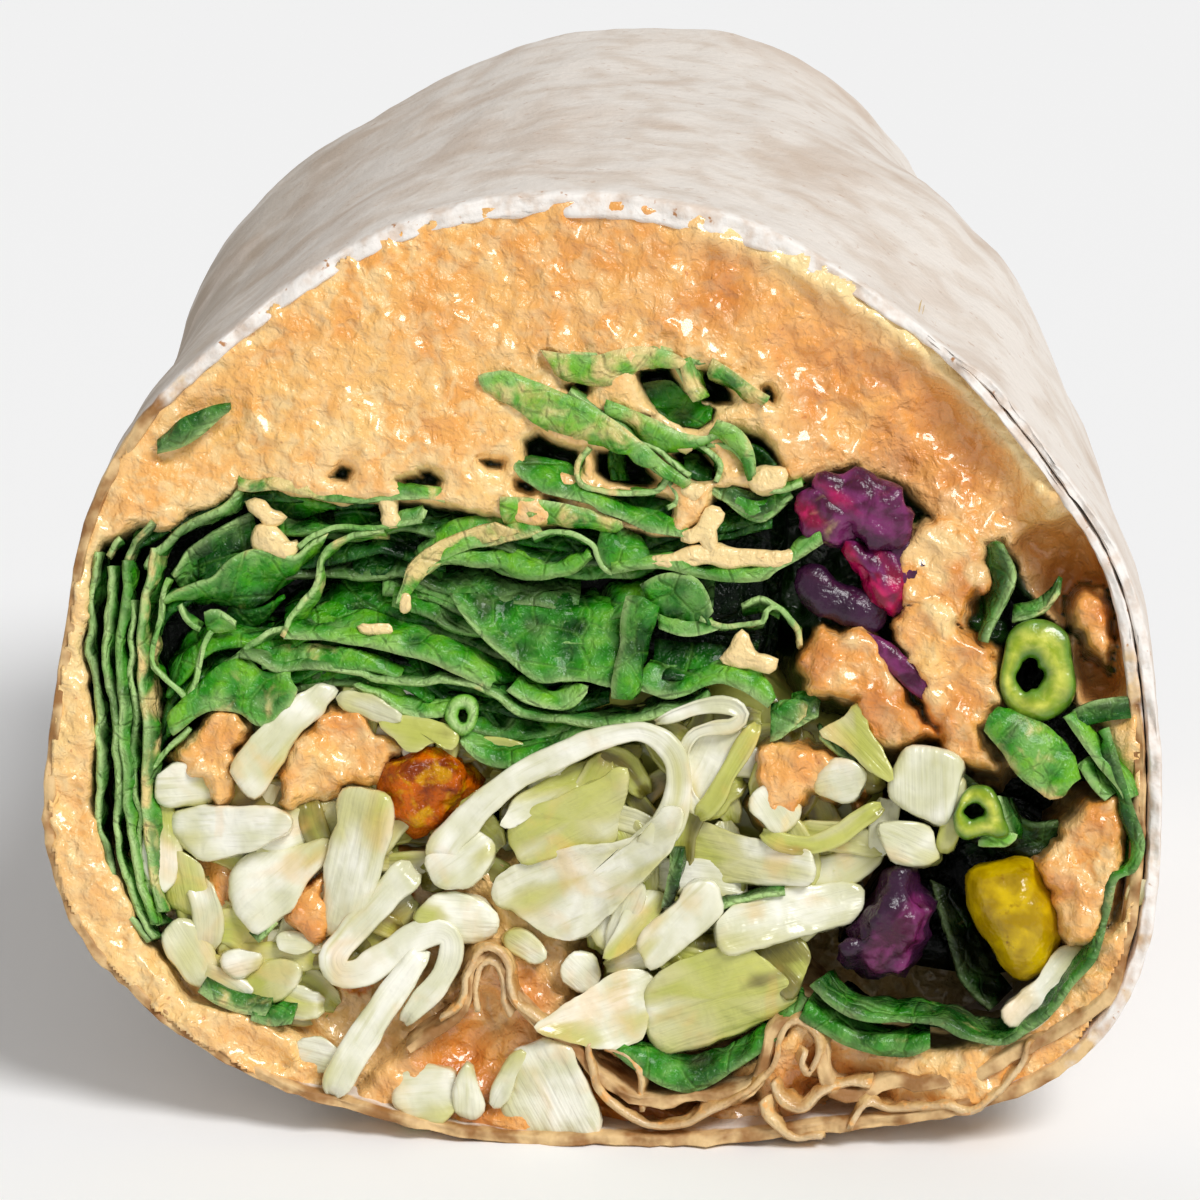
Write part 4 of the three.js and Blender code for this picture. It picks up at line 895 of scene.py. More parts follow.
def face(pixels, depth=0.0):
    """Where the photograph's pixels lie on a plane depth mm behind the cut face."""
    pixels = np.asarray(pixels, float)
    rays = BACKWARD * -FOCAL_PX + RIGHT * (pixels[..., :1] - PHOTO / 2) + UP * (PHOTO / 2 - pixels[..., 1:2])
    travel = (np.asarray(depth, float) - EYE @ CUT_NORMAL) / (rays @ CUT_NORMAL)
    return EYE + rays * travel[..., None]


def to_pixels(flat):
    """Where points of the cut face, [x, z] in mm, show in the photograph."""
    x, z = np.moveaxis(np.asarray(flat, float), -1, 0)
    rays = np.stack([x, z * math.tan(SLANT), z], axis=-1) - EYE
    scale = FOCAL_PX / (rays @ -BACKWARD)
    return np.stack([PHOTO / 2 + rays @ RIGHT * scale, PHOTO / 2 - rays @ UP * scale], axis=-1)


def on_face(shares):
    return [(x * HALF_W, z * HEIGHT) for x, z in shares]


def behind_cut(grid):
    """Depth of points behind the cut face, mm."""
    return grid[..., 1] - grid[..., 2] * math.tan(SLANT)


def swell_at(angle, t):
    """How much wider or narrower the roll is in one direction, t of the way along it."""
    since_cut = smoothstep(t, 0, SHOULDER_START)
    towards_end = smoothstep(t, 0, TAPER_END)
    swell = 1
    for share, middle, width, place, reach in SHOULDERS:
        swell = swell + share * bell(angle, middle, width) * bell(t, place, reach) * since_cut
    for share, middle, width in TAPERS:
        swell = swell + share * bell(angle, middle, width) * towards_end
    return swell


def roll_point(x, z, t):
    """The roll's shape along its length, as the solids have it: t runs from the cut, 0, to the end, 1."""
    x, z, t = np.broadcast_arrays(np.asarray(x, float), np.asarray(z, float), np.asarray(t, float))
    angle = np.degrees(np.arctan2(z - CORE_Z, x))
    closing = np.clip((t - ROUNDING["start"]) / ROUNDING["over"], 0, None) ** ROUNDING["power"]
    swell = swell_at(angle, t)
    rounding = 1 - ROUNDING["by"] * closing
    lean = LEAN["by"] * smoothstep(t, 0, 1) * np.clip(z / LEAN["height"], 0, 1)
    return np.stack([
        x * swell * rounding + lean,
        z * math.tan(SLANT) * (1 - t) + LENGTH * t,
        np.maximum(0, CORE_Z + (z - CORE_Z) * swell * rounding),
    ], axis=-1)


def signed_distance(points, outline):
    """Distance from points to a closed outline: positive inside it."""
    corners = np.asarray(outline, float)
    flat = np.asarray(points, float).reshape(-1, 2)
    nearest = np.full(len(flat), np.inf)
    inside = np.zeros(len(flat), bool)
    for start, stop in zip(corners, np.roll(corners, -1, axis=0)):
        side = stop - start
        along = np.clip(((flat - start) @ side) / (side @ side), 0, 1)
        nearest = np.minimum(nearest, np.linalg.norm(flat - start - along[:, None] * side, axis=1))
        if start[1] != stop[1]:
            crosses = (start[1] > flat[:, 1]) != (stop[1] > flat[:, 1])
            inside ^= crosses & (flat[:, 0] < start[0] + (flat[:, 1] - start[1]) * side[0] / side[1])
    return np.where(inside, nearest, -nearest).reshape(np.shape(points)[:-1])


def to_frame(points):
    """From mm in the roll's frame to metres in the object's."""
    return (np.asarray(points, float) - [ORIGIN_X, ORIGIN_Y, 0]) / 1000


# ---- meshes ----
def turn_outwards(mesh):
    shell = bmesh.new()
    shell.from_mesh(mesh)
    bmesh.ops.recalc_face_normals(shell, faces=shell.faces)
    shell.to_mesh(mesh)
    shell.free()


class Pile:
    """Collects pieces of one kind, with a look for each corner: cut edge, tone and wetness.

    flow is where a corner lies along, across and through its piece, mm."""

    def __init__(self):
        self.corners = []
        self.looks = []
        self.flows = []
        self.faces = []
        self.count = 0

    def add(self, corners, faces, edge=0.0, tone=0.5, smear=0.0, flow=(0, 0, 0)):
        corners = np.array(corners, float).reshape(-1, 3)
        corners[:, 2] = np.maximum(corners[:, 2], 0)
        count = len(corners)
        looks = [np.asarray(look, float).reshape(-1) for look in (edge, tone, smear)]
        self.corners.append(corners)
        self.looks.append(np.stack([np.broadcast_to(look, (count,)) for look in looks], axis=1))
        self.flows.append(np.broadcast_to(flow, corners.shape))
        self.faces += [tuple(int(i) + self.count for i in f) for f in faces]
        self.count += count

    def make(self, name, material, node):
        corners = to_frame(np.vstack(self.corners))
        mesh = bpy.data.meshes.new(name)
        mesh.from_pydata(corners.tolist(), [], self.faces)
        mesh.polygons.foreach_set("use_smooth", [True] * len(mesh.polygons))
        looks = np.hstack([np.vstack(self.looks), np.ones((self.count, 1))])
        mesh.attributes.new("look", "FLOAT_COLOR", "POINT").data.foreach_set("color", looks.ravel())
        flows = np.vstack(self.flows)
        mesh.attributes.new("flow", "FLOAT_VECTOR", "POINT").data.foreach_set("vector", flows.ravel())
        mesh.materials.append(material)
        turn_outwards(mesh)
        mesh.update()
        piece = bpy.data.objects.new(name, mesh)
        bpy.context.scene.collection.objects.link(piece)
        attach(piece, "root")
        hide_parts(node)
        return piece


def grid_faces(rows, cols, start=0, closed=False, flip=False):
    """The squares of a grid of points. A closed grid's last column meets its first."""
    faces = []
    for i in range(rows - 1):
        for j in range(cols if closed else cols - 1):
            a = start + i * cols + j
            b = start + i * cols + (j + 1) % cols
            quad = (a, b, b + cols, a + cols)
            faces.append(quad[::-1] if flip else quad)
    return faces


def grid_normals(grid, closed=False):
    """Normals of a grid of points, rows by columns."""
    if closed:
        along = np.roll(grid, -1, axis=1) - np.roll(grid, 1, axis=1)
    else:
        along = np.gradient(grid, axis=1)
    down = np.gradient(grid, axis=0)
    normal = np.cross(along, down)
    return normal / np.maximum(np.linalg.norm(normal, axis=-1, keepdims=True), 1e-9)


# ---- the shapes of leaves, lumps, strips and rings ----
LOFT_STEP = 0.4  # mm between the points of a leaf
TURN_POINTS = 20  # round a strip
RING_POINTS = 56
# A ring's section: share of the way from the bore to the skin, and mm behind its front.
RING_SECTION = [(0, 0.8), (0.04, 0.35), (0.12, 0.12), (0.3, 0.02), (0.5, 0), (0.7, 0.02), (0.88, 0.12),
                (0.96, 0.35), (1, 0.8), (1, 2.5)]
CORE_POINTS = 90
CORE_RINGS = 10  # across the front of a core
CORE_STATIONS = [0.13, 0.28, 0.45, 0.62, 0.78, 0.9]  # along the roll, as shares of its length
DEPTH_SHADE = 0.22  # painted shade: how much darker cabbage gets for each mm behind the cut


def loft(rows):
    """A smooth grid of points through rows of pixels and depths."""
    first = np.asarray(rows[0][1], float)
    lines = []
    for depth, points in rows:
        points = first + np.asarray(points, float) if np.ndim(points) == 1 else np.asarray(points, float)
        lines.append(np.column_stack([points, np.full(len(points), depth * PIXELS_PER_MM)]))
    columns = max(6, int(max(line_length(line) for line in lines) / PIXELS_PER_MM / LOFT_STEP))
    lines = np.array([smooth_line(line, columns) for line in lines])
    count = max(5, steps_along(lines[:, columns // 2], LOFT_STEP))
    grid = np.stack([smooth_line(lines[:, j], count) for j in range(columns)], axis=1)
    return face(grid[..., :2], grid[..., 2] / PIXELS_PER_MM)


def add_sheet(pile, grid, thickness, edge, tone, smear):
    """A grid of points as a thin closed solid. edge, tone and smear are numbers or grids."""
    rows, cols, _ = grid.shape
    normal = grid_normals(grid)
    corners = np.concatenate([(grid + normal * thickness / 2).reshape(-1, 3),
                              (grid - normal * thickness / 2).reshape(-1, 3)])
    n = rows * cols
    faces = grid_faces(rows, cols) + grid_faces(rows, cols, start=n, flip=True)
    border = ([(0, j) for j in range(cols - 1)] + [(i, cols - 1) for i in range(rows - 1)]
              + [(rows - 1, j) for j in range(cols - 1, 0, -1)] + [(i, 0) for i in range(rows - 1, 0, -1)])
    ring = [i * cols + j for i, j in border]
    for a, b in zip(ring, ring[1:] + ring[:1]):
        faces.append((b, a, a + n, b + n))
    looks = [np.tile(np.broadcast_to(look, (rows, cols)).ravel(), 2) for look in (edge, tone, smear)]
    pile.add(corners, faces, *looks)


def add_leaf(pile, rows, tone=0.5, smear=0.0, edge=1.0, thick=0.36, wrinkle=0.4):
    """A wrinkled leaf through rows of pixels and depths, paler at its cut edge."""
    grid = loft(rows)
    seed = int(abs(rows[0][1][0][0]))
    travel = np.concatenate([np.zeros((1, grid.shape[1])),
                             np.cumsum(np.linalg.norm(np.diff(grid, axis=0), axis=2), axis=0)])
    folds = fractal(grid, 3.0, 3, seed) * wrinkle * (0.5 + 0.5 * smoothstep(travel, 0, 1.5))
    ridge = (0.5 - np.abs(noise(grid / 1.6, seed + 5))) * smoothstep(travel, 0.1, 0.8)
    fine = noise(grid / 0.8, seed + 8)
    grid = grid + grid_normals(grid) * (folds + 0.45 * ridge + 0.08 * fine)[..., None]
    # painted shade: the leaf gets darker the deeper it lies behind the cut, and painted highlights lighten
    # its ridge tops
    behind = np.clip(behind_cut(grid) / 5, 0, 1)
    pale = edge * np.exp(-travel / 0.28) * (0.8 + 0.6 * fractal(grid, 2.5, 2, seed + 6))
    # painted wet sheen: haze pales the leaf in mottled patches that fade back from the cut edge
    haze = 0.65 * tone * smoothstep(fractal(grid, 1.5, 3, seed + 12), -0.1, 0.8) * np.exp(-travel / 3.5)
    pale = np.maximum(pale, haze * (edge > 0))
    shade = tone * (1 - 0.75 * behind + 0.7 * ridge) + 0.28 * fractal(grid, 2.2, 3, seed + 3)
    coat = smear * (0.75 + 0.6 * fractal(grid, 2.5, 2, seed + 9)) + 0.12 * pale
    add_sheet(pile, grid, thick, np.clip(pale, 0, 1), np.clip(shade, 0, 1), np.clip(coat, 0, 1))


def with_ends(grid):
    """A grid's points as a list, with the middles of its first and last row after them."""
    return np.vstack([grid.reshape(-1, 3), grid[0].mean(axis=0), grid[-1].mean(axis=0)])


def add_lump(pile, grid, flow, lines, edge, tone, smear, seed, fading=0.0):
    """A closed grid with a point at each end. lines are its streaks, and fading changes its tone."""
    rows, cols, _ = grid.shape
    corners = with_ends(grid)
    start = rows * cols
    last = start - cols
    faces = grid_faces(rows, cols, closed=True)
    faces += [(start, (j + 1) % cols, j) for j in range(cols)]
    faces += [(start + 1, last + j, last + (j + 1) % cols) for j in range(cols)]
    # painted shade: darker the further the piece lies behind the cut
    shade = tone - DEPTH_SHADE * np.clip(behind_cut(corners) - 0.4, 0, 4)
    shade = shade + 0.25 * fractal(corners, 4, 2, seed + 1)
    for change in (0.45 * lines, np.broadcast_to(fading, lines.shape)):
        shade = shade + np.append(change.ravel(), [0, 0])
    pile.add(corners, faces, edge, shade, smear, with_ends(flow))


def add_blob(pile, outline, depth, thick, box=2.4, tone=0.76, smear=0.0, relief=0.12, bow=0.0,
             tilt=(0, 0), step=0.4, grow=3, pale=0.0, fade=0.0):
    """A closed lump with this outline in the face, made grow pixels larger.

    A larger box squares its sides, bow hollows its front, and fade darkens it towards one end."""
    count = max(20, steps_along(outline + outline[:1], step))
    rim = cornered_line(outline, count) if box > 3.5 else smooth_line(outline, count, closed=True)
    rim = offset_line(rim, grow * winding(rim), closed=True)
    middle = rim.mean(axis=0)
    reach = np.linalg.norm(rim - middle, axis=1).mean() / PIXELS_PER_MM
    rings = max(9, int(2 * (reach + thick / 2) / step))
    turns = np.linspace(-math.pi / 2, math.pi / 2, rings + 2)[1:-1]
    spread = np.cos(turns) ** (2 / box)
    height = signed_power(np.sin(turns), 2 / box)
    pixels = middle + (rim - middle)[None] * spread[:, None, None]
    from_middle = (pixels - middle) / PIXELS_PER_MM
    back = depth + thick / 2 - height * thick / 2
    back = back + bow * (1 - spread ** 2) * (height > 0)
    depths = back[:, None] + from_middle @ np.asarray(tilt, float)
    grid = face(pixels, depths)
    seed = int(abs(outline[0][0]))
    way = np.linalg.svd(rim - middle, full_matrices=False)[2][0]
    along = pixels @ way / PIXELS_PER_MM
    across = pixels @ left_of(way) / PIXELS_PER_MM
    lines = noise(np.stack([along / 8, across / 1.1, np.full(along.shape, seed * 0.37)], axis=-1), seed)
    bumps = fractal(grid, 1.8, 3, seed) * relief + lines * 0.14
    grid = grid + (bumps * spread[:, None] ** 0.5)[..., None] * grid_normals(grid, closed=True)
    flow = np.stack([from_middle @ way, from_middle @ left_of(way) + seed, depths], axis=-1)
    edge = np.append(np.repeat(np.maximum(spread ** 3, pale), count), [pale, pale])
    add_lump(pile, grid, flow, lines, edge, tone, smear, seed, fade * (from_middle @ way / reach))


def add_strip(pile, path, depth, thick, tone=0.78, smear=0.0, relief=0.1, step=0.4):
    """A ribbed strip that runs along a path of (x, y, width) in pixels."""
    path = np.asarray(path, float)
    count = max(8, steps_along(path[:, :2], step))
    course = smooth_line(path, count)
    ahead = np.gradient(course[:, :2], axis=0)
    ahead /= np.linalg.norm(ahead, axis=1, keepdims=True)
    side = np.stack([-ahead[:, 1], ahead[:, 0]], axis=1)
    turns = np.linspace(0, 2 * math.pi, TURN_POINTS, endpoint=False)
    wide = signed_power(np.cos(turns), 0.4)
    high = signed_power(np.sin(turns), 0.4)
    to_end = np.minimum(np.arange(count), np.arange(count)[::-1]) * step
    close = np.sqrt(1 - (1 - np.clip(to_end / (thick / 2), 0.02, 1)) ** 2)
    seed = int(path[0, 0])
    uneven = 1 + 0.16 * noise(np.stack([np.arange(count) * step / 2.5] * 3, axis=1), seed)
    width = course[:, 2] / 2 * (0.4 + 0.6 * close) * uneven
    pixels = course[:, None, :2] + side[:, None] * (wide * width[:, None])[..., None]
    depths = depth + thick / 2 - high * thick / 2 * close[:, None]
    grid = face(pixels, depths)
    travel = np.arange(count)[:, None] * step + 0 * wide
    across = wide * width[:, None] / PIXELS_PER_MM
    lines = noise(np.stack([travel / 8, across / 0.7, 0 * travel + seed], axis=-1), seed)
    ribs = 0.13 * np.cos(wide * 3 * math.pi) * (high > 0.5)
    bumps = fractal(grid, 2.0, 3, seed) * relief + lines * 0.12 + ribs
    grid = grid + bumps[..., None] * grid_normals(grid, closed=True)
    flow = np.stack([travel, across + seed, depths], axis=-1)
    edge = np.append(np.tile(np.abs(wide) ** 3, count), [1, 1])
    add_lump(pile, grid, flow, lines, edge, tone, smear, seed)


def add_ring(pile, outline, hole, hole_size, depth, length):
    """A slice of hollow stalk: a tube with rounded rims that runs back into the food."""
    rim = smooth_line(outline, RING_POINTS, closed=True)
    turns = np.arctan2(rim[:, 1] - hole[1], rim[:, 0] - hole[0])
    ragged = 1 + 0.3 * noise(np.stack([np.cos(turns), np.sin(turns), 0 * turns], axis=1) * 1.6, hole[0])
    bore = np.array(hole) + np.stack([np.cos(turns), np.sin(turns)], axis=1) * hole_size * ragged[:, None]
    shares, backs = np.array([(0, length), *RING_SECTION, (1, length)], float).T
    pixels = bore[None] + (rim - bore)[None] * shares[:, None, None]
    grid = face(pixels, (depth + backs)[:, None])
    grid = grid + (fractal(grid, 2.0, 3, 5) * 0.3)[..., None] * OUT
    rows = len(shares)
    faces = grid_faces(rows, RING_POINTS, closed=True)
    last = (rows - 1) * RING_POINTS
    for j in range(RING_POINTS):
        following = (j + 1) % RING_POINTS
        faces.append((last + j, last + following, following, j))
    edge = np.repeat(bell(shares, 0.5, 0.3), RING_POINTS)
    # painted shade: the ring gets darker down its bore, the further back it lies
    tone = np.repeat(1 - np.clip(backs / 3, 0, 0.8), RING_POINTS)
    pile.add(grid, faces, edge, tone, 0)


def add_core(pile, outline, inset, front, tone):
    """The hidden part of a filling: its outline carried back through the roll."""
    rim = smooth_line(on_face(outline), CORE_POINTS, closed=True)
    way_round = winding(rim)
    rim = offset_line(rim, -inset * way_round, closed=True)
    middle = rim.mean(axis=0)
    start = front / LENGTH
    sizes = np.linspace(0.08, 0.92, CORE_RINGS)
    rows = [roll_point(*(middle + (rim - middle) * s).T, start) for s in sizes]
    rows += [roll_point(*rim.T, t) for t in [start, *CORE_STATIONS]]
    rows += [roll_point(*(middle + (rim - middle) * sizes[0]).T, CORE_STATIONS[-1])]
    grid = np.array(rows)
    grid[:CORE_RINGS, :, 1] += fractal(grid[:CORE_RINGS], 3, 3, 3) * 0.8
    pile.add(grid, grid_faces(len(grid), CORE_POINTS, closed=True, flip=way_round > 0), 0, tone, 0)


# ---- materials ----
class Shader:
    """A node-made material, with short calls for its nodes."""

    def __init__(self, name):
        self.material = bpy.data.materials.new(name)
        self.material.use_nodes = True
        self.nodes = self.material.node_tree.nodes
        self.links = self.material.node_tree.links
        self.surface = self.nodes["Principled BSDF"]
        self.place = self.nodes.new("ShaderNodeTexCoord").outputs["Object"]

    def link(self, value, socket):
        if isinstance(value, bpy.types.NodeSocket):
            self.links.new(value, socket)
        else:
            socket.default_value = value

    def attribute(self, name, output):
        node = self.nodes.new("ShaderNodeAttribute")
        node.attribute_name = name
        return node.outputs[output]

    def texture(self, kind, place, scale):
        """A texture node whose place is scaled by three numbers."""
        mapping = self.nodes.new("ShaderNodeMapping")
        mapping.inputs["Scale"].default_value = scale
        self.link(place, mapping.inputs["Vector"])
        texture = self.nodes.new(kind)
        texture.inputs["Scale"].default_value = 1
        self.link(mapping.outputs["Vector"], texture.inputs["Vector"])
        return texture

    def noise(self, size_mm, detail=3, distortion=0.0, stretch=(1, 1, 1)):
        texture = self.texture("ShaderNodeTexNoise", self.place, [1000 / size_mm * s for s in stretch])
        texture.inputs["Detail"].default_value = detail
        texture.inputs["Distortion"].default_value = distortion
        return texture.outputs["Fac"]

    def fibres(self, length_mm, width_mm):
        """Fine lines that run along each piece."""
        scale = (1 / length_mm, 1 / width_mm, 0.5 / width_mm)
        texture = self.texture("ShaderNodeTexNoise", self.attribute("flow", "Vector"), scale)
        texture.inputs["Detail"].default_value = 2
        return texture.outputs["Fac"]

    def cell_edges(self, size_mm):
        """Distance to the edge of the nearest cell of a net."""
        texture = self.texture("ShaderNodeTexVoronoi", self.place, [1000 / size_mm] * 3)
        texture.feature = "DISTANCE_TO_EDGE"
        return texture.outputs["Distance"]

    def look(self):
        split = self.nodes.new("ShaderNodeSeparateColor")
        self.link(self.attribute("look", "Color"), split.inputs["Color"])
        return split.outputs["Red"], split.outputs["Green"], split.outputs["Blue"]

    def between(self, value, low, high):
        """1 above high, 0 below low, smooth between."""
        node = self.nodes.new("ShaderNodeMapRange")
        node.interpolation_type = "SMOOTHSTEP"
        node.inputs["From Min"].default_value = low
        node.inputs["From Max"].default_value = high
        self.link(value, node.inputs["Value"])
        return node.outputs["Result"]

    def math(self, operation, a, b):
        node = self.nodes.new("ShaderNodeMath")
        node.operation = operation
        self.link(a, node.inputs[0])
        self.link(b, node.inputs[1])
        return node.outputs[0]

    def times(self, a, b):
        return self.math("MULTIPLY", a, b)

    def plus(self, a, b):
        return self.math("ADD", a, b)

    def mix(self, share, a, b):
        node = self.nodes.new("ShaderNodeMix")
        node.data_type = "RGBA"
        node.clamp_factor = True
        self.link(share, node.inputs["Factor"])
        self.link(a, node.inputs["A"])
        self.link(b, node.inputs["B"])
        return node.outputs["Result"]

    def relief(self, coarse_mm, fine_mm, share):
        """Height of coarse bumps with fine ones on them."""
        return self.plus(self.noise(coarse_mm, 2), self.times(self.noise(fine_mm, 2), share))

    def bump(self, height, distance_mm, strength):
        node = self.nodes.new("ShaderNodeBump")
        node.inputs["Distance"].default_value = distance_mm / 1000
        node.inputs["Strength"].default_value = strength
        self.link(height, node.inputs["Height"])
        return node.outputs["Normal"]

    def finish(self, colour, roughness, normal=None, coat=0.0, shine=0.5, glow=0.0, glow_mm=(1, 0.5, 0.25)):
        """Joins the surface up. glow is the share of light that wanders under the skin."""
        shader = self.surface
        self.link(colour, shader.inputs["Base Color"])
        self.link(roughness, shader.inputs["Roughness"])
        if normal is not None:
            self.link(normal, shader.inputs["Normal"])
        shader.inputs["Specular IOR Level"].default_value = shine
        shader.inputs["Subsurface Weight"].default_value = glow
        shader.inputs["Subsurface Radius"].default_value = glow_mm
        shader.inputs["Subsurface Scale"].default_value = 0.001
        shader.inputs["Coat Weight"].default_value = coat
        shader.inputs["Coat Roughness"].default_value = 0.09
        return self.material


def as_light(level):
    """A screen's level, 0 to 255, as light."""
    if level > 10:
        return ((level / 255 + 0.055) / 1.055) ** 2.4
    return level / 255 / 12.92


def srgb(r, g, b):
    """A colour as a screen shows it, 0 to 255, as light."""
    return (as_light(r), as_light(g), as_light(b), 1.0)


def tortilla_material():
    m = Shader("tortilla_dough")
    edge, tone, smear = m.look()
    blotch = m.between(m.noise(11, 3, 0.8, stretch=(1, 0.7, 1)), 0.46, 0.66)
    faint = m.between(m.noise(4, 3, 0.3), 0.42, 0.7)
    speck = m.between(m.noise(0.9, 3), 0.64, 0.74)
    skin = m.mix(m.times(faint, 0.5), srgb(234, 225, 215), srgb(208, 189, 170))
    skin = m.mix(m.times(blotch, 0.48), skin, srgb(196, 170, 146))
    skin = m.mix(m.times(speck, 0.35), skin, srgb(172, 126, 86))
    # painted shade: the tone channel darkens the left flank of the skin to grey-brown, broken up by noise
    painted_flank_shade = m.times(tone, m.between(m.noise(7, 3, 0.5), 0.2, 0.6))
    skin = m.mix(painted_flank_shade, skin, srgb(150, 128, 100))
    crumb = m.mix(m.between(m.noise(1.6, 3), 0.4, 0.68), srgb(244, 238, 231), srgb(222, 204, 188))
    crumb = m.mix(m.between(m.noise(0.9, 3), 0.66, 0.74), crumb, srgb(184, 128, 80))
    colour = m.mix(edge, skin, crumb)
    film = m.mix(m.between(m.noise(2.4, 3), 0.35, 0.65), srgb(156, 108, 56), srgb(230, 194, 138))
    spread = m.plus(m.times(smear, 1.2), m.noise(1.8, 3))
    colour = m.mix(m.between(spread, 0.75, 1.1), colour, film)
    return m.finish(colour, 0.62, m.bump(m.relief(1.1, 0.35, 0.4), 0.25, 0.6))


def soaked_material():
    m = Shader("tortilla_soaked")
    edge, _, _ = m.look()
    colour = m.mix(m.between(m.noise(2.2, 3, 0.5), 0.35, 0.68), srgb(182, 130, 62), srgb(226, 188, 124))
    colour = m.mix(m.times(edge, 0.8), colour, srgb(238, 212, 168))
    colour = m.mix(m.between(m.noise(1.2, 3), 0.56, 0.7), colour, srgb(240, 176, 98))
    return m.finish(colour, 0.4, m.bump(m.relief(0.9, 0.3, 0.4), 0.3, 0.8), coat=0.3)


def hummus_material():
    m = Shader("hummus_paste")
    pale, tone, gap_shade = m.look()
    patch = m.between(m.noise(5, 3, 0.4), 0.35, 0.68)
    fine = m.between(m.noise(1.3, 3, 0.6), 0.4, 0.68)
    base = m.mix(patch, srgb(248, 172, 80), srgb(253, 200, 118))
    base = m.mix(m.times(fine, 0.6), base, srgb(255, 226, 166))
    # a low tone gives a deeper orange: random patches of the paste, and painted shade where the hummus has
    # sunk or lies deep
    deep = m.mix(patch, srgb(206, 112, 20), srgb(242, 154, 56))
    colour = m.mix(tone, deep, base)
    colour = m.mix(pale, colour, srgb(253, 226, 162))
    speck = m.between(m.noise(0.6, 2), 0.72, 0.76)
    colour = m.mix(m.times(speck, 0.5), colour, srgb(190, 100, 40))
    # painted shade: near-black green where the hummus lies deep in the gaps among the leaves
    colour = m.mix(gap_shade, colour, m.mix(m.noise(1.5, 3), srgb(4, 22, 2), srgb(34, 78, 12)))
    height = m.plus(m.noise(1.0, 2, 0.6), m.times(m.noise(0.35, 2, 0.4), 0.3))
    return m.finish(colour, 0.3, m.bump(height, 0.4, 1.0), coat=0.8)


def smeared(m, colour, smear, size_mm=2.2):
    """Lays a broken film of hummus over a colour."""
    spread = m.times(m.noise(size_mm, 4, 0.5), 1.4)
    share = m.between(m.plus(spread, smear), 1.0, 1.4)
    film = m.mix(m.noise(1.2, 3), srgb(232, 190, 118), srgb(246, 226, 160))
    return m.mix(m.times(share, 0.9), colour, film)


def leaf_material(name):
    m = Shader(name)
    edge, tone, smear = m.look()
    # the darkest tones are near black: painted shade for leaves that lie deep
    low = m.mix(m.between(tone, 0.0, 0.4), srgb(1, 12, 4), srgb(8, 70, 4))
    middle = m.mix(m.between(tone, 0.35, 0.75), low, srgb(40, 138, 6))
    colour = m.mix(m.between(tone, 0.65, 1.05), middle, srgb(112, 180, 32))
    cloud = m.between(m.noise(1.2, 3, 1.0), 0.42, 0.68)
    colour = m.mix(m.times(cloud, m.times(tone, 0.6)), colour, srgb(84, 152, 74))
    # painted wet sheen: fine pale flecks over the leaf
    film = m.between(m.noise(0.7, 3, 1.2), 0.55, 0.68)
    colour = m.mix(m.times(film, m.times(tone, 0.36)), colour, srgb(150, 204, 100))
    vein = m.between(m.cell_edges(3.2), 0.07, 0.0)
    colour = m.mix(m.times(vein, m.times(tone, 0.32)), colour, srgb(130, 190, 76))
    colour = m.mix(edge, colour, m.mix(m.noise(0.8, 3), srgb(150, 196, 104), srgb(202, 226, 158)))
    colour = smeared(m, colour, smear)
    height = m.plus(m.noise(1.0, 2, 0.8), m.times(m.noise(0.4, 2, 0.5), 0.35))
    height = m.math("SUBTRACT", height, m.times(vein, 0.3))
    return m.finish(colour, 0.26, m.bump(height, 0.45, 1.0), coat=0.14, shine=0.2)


def cabbage_material():
    m = Shader("white_cabbage_flesh")
    edge, tone, smear = m.look()
    white = m.mix(m.between(m.noise(3.5, 2, 0.3), 0.3, 0.7), srgb(214, 213, 176), srgb(252, 250, 236))
    green = m.mix(m.noise(3.0, 3), srgb(164, 172, 56), srgb(214, 212, 116))
    # painted shade: dim, a dark olive, takes over where the tone falls below 0, mostly deep behind the cut
    dim = m.mix(m.noise(2.0, 3), srgb(86, 82, 16), srgb(144, 134, 50))
    colour = m.mix(m.between(tone, 0.1, 0.4), green, srgb(206, 202, 138))
    colour = m.mix(m.between(tone, 0.35, 0.72), colour, white)
    colour = m.mix(m.between(tone, 0.0, -0.3), colour, dim)
    colour = m.mix(m.times(edge, 0.2), colour, srgb(222, 218, 156))
    fibre = m.fibres(9, 0.35)
    lines = m.times(m.between(fibre, 0.5, 0.7), m.between(m.noise(2.5, 3), 0.4, 0.7))
    colour = m.mix(m.times(lines, 0.4), colour, srgb(184, 182, 112))
    tint = m.between(m.noise(5.0, 3, 0.6), 0.5, 0.7)
    colour = m.mix(m.times(tint, 0.35), colour, srgb(240, 186, 96))
    colour = smeared(m, colour, smear, 3.0)
    height = m.plus(m.noise(1.4, 2, 0.4), m.times(fibre, 0.8))
    return m.finish(colour, 0.24, m.bump(height, 0.2, 0.8), coat=0.7, shine=0.4)


def red_cabbage_material():
    m = Shader("red_cabbage_skin")
    _, tone, smear = m.look()
    dark = m.mix(m.noise(1.8, 3), srgb(24, 6, 24), srgb(72, 30, 66))
    violet = m.mix(m.between(m.noise(1.5, 3, 0.8), 0.35, 0.7), srgb(70, 8, 44), srgb(124, 44, 100))
    magenta = m.mix(m.between(m.noise(1.6, 3, 0.8), 0.4, 0.7), srgb(130, 4, 48), srgb(206, 20, 96))
    colour = m.mix(m.between(tone, 0.1, 0.5), dark, violet)
    colour = m.mix(m.between(tone, 0.6, 0.95), colour, magenta)
    colour = smeared(m, colour, smear)
    return m.finish(colour, 0.26, m.bump(m.relief(1.0, 0.3, 0.4), 0.3, 0.7), coat=0.1, shine=0.4)


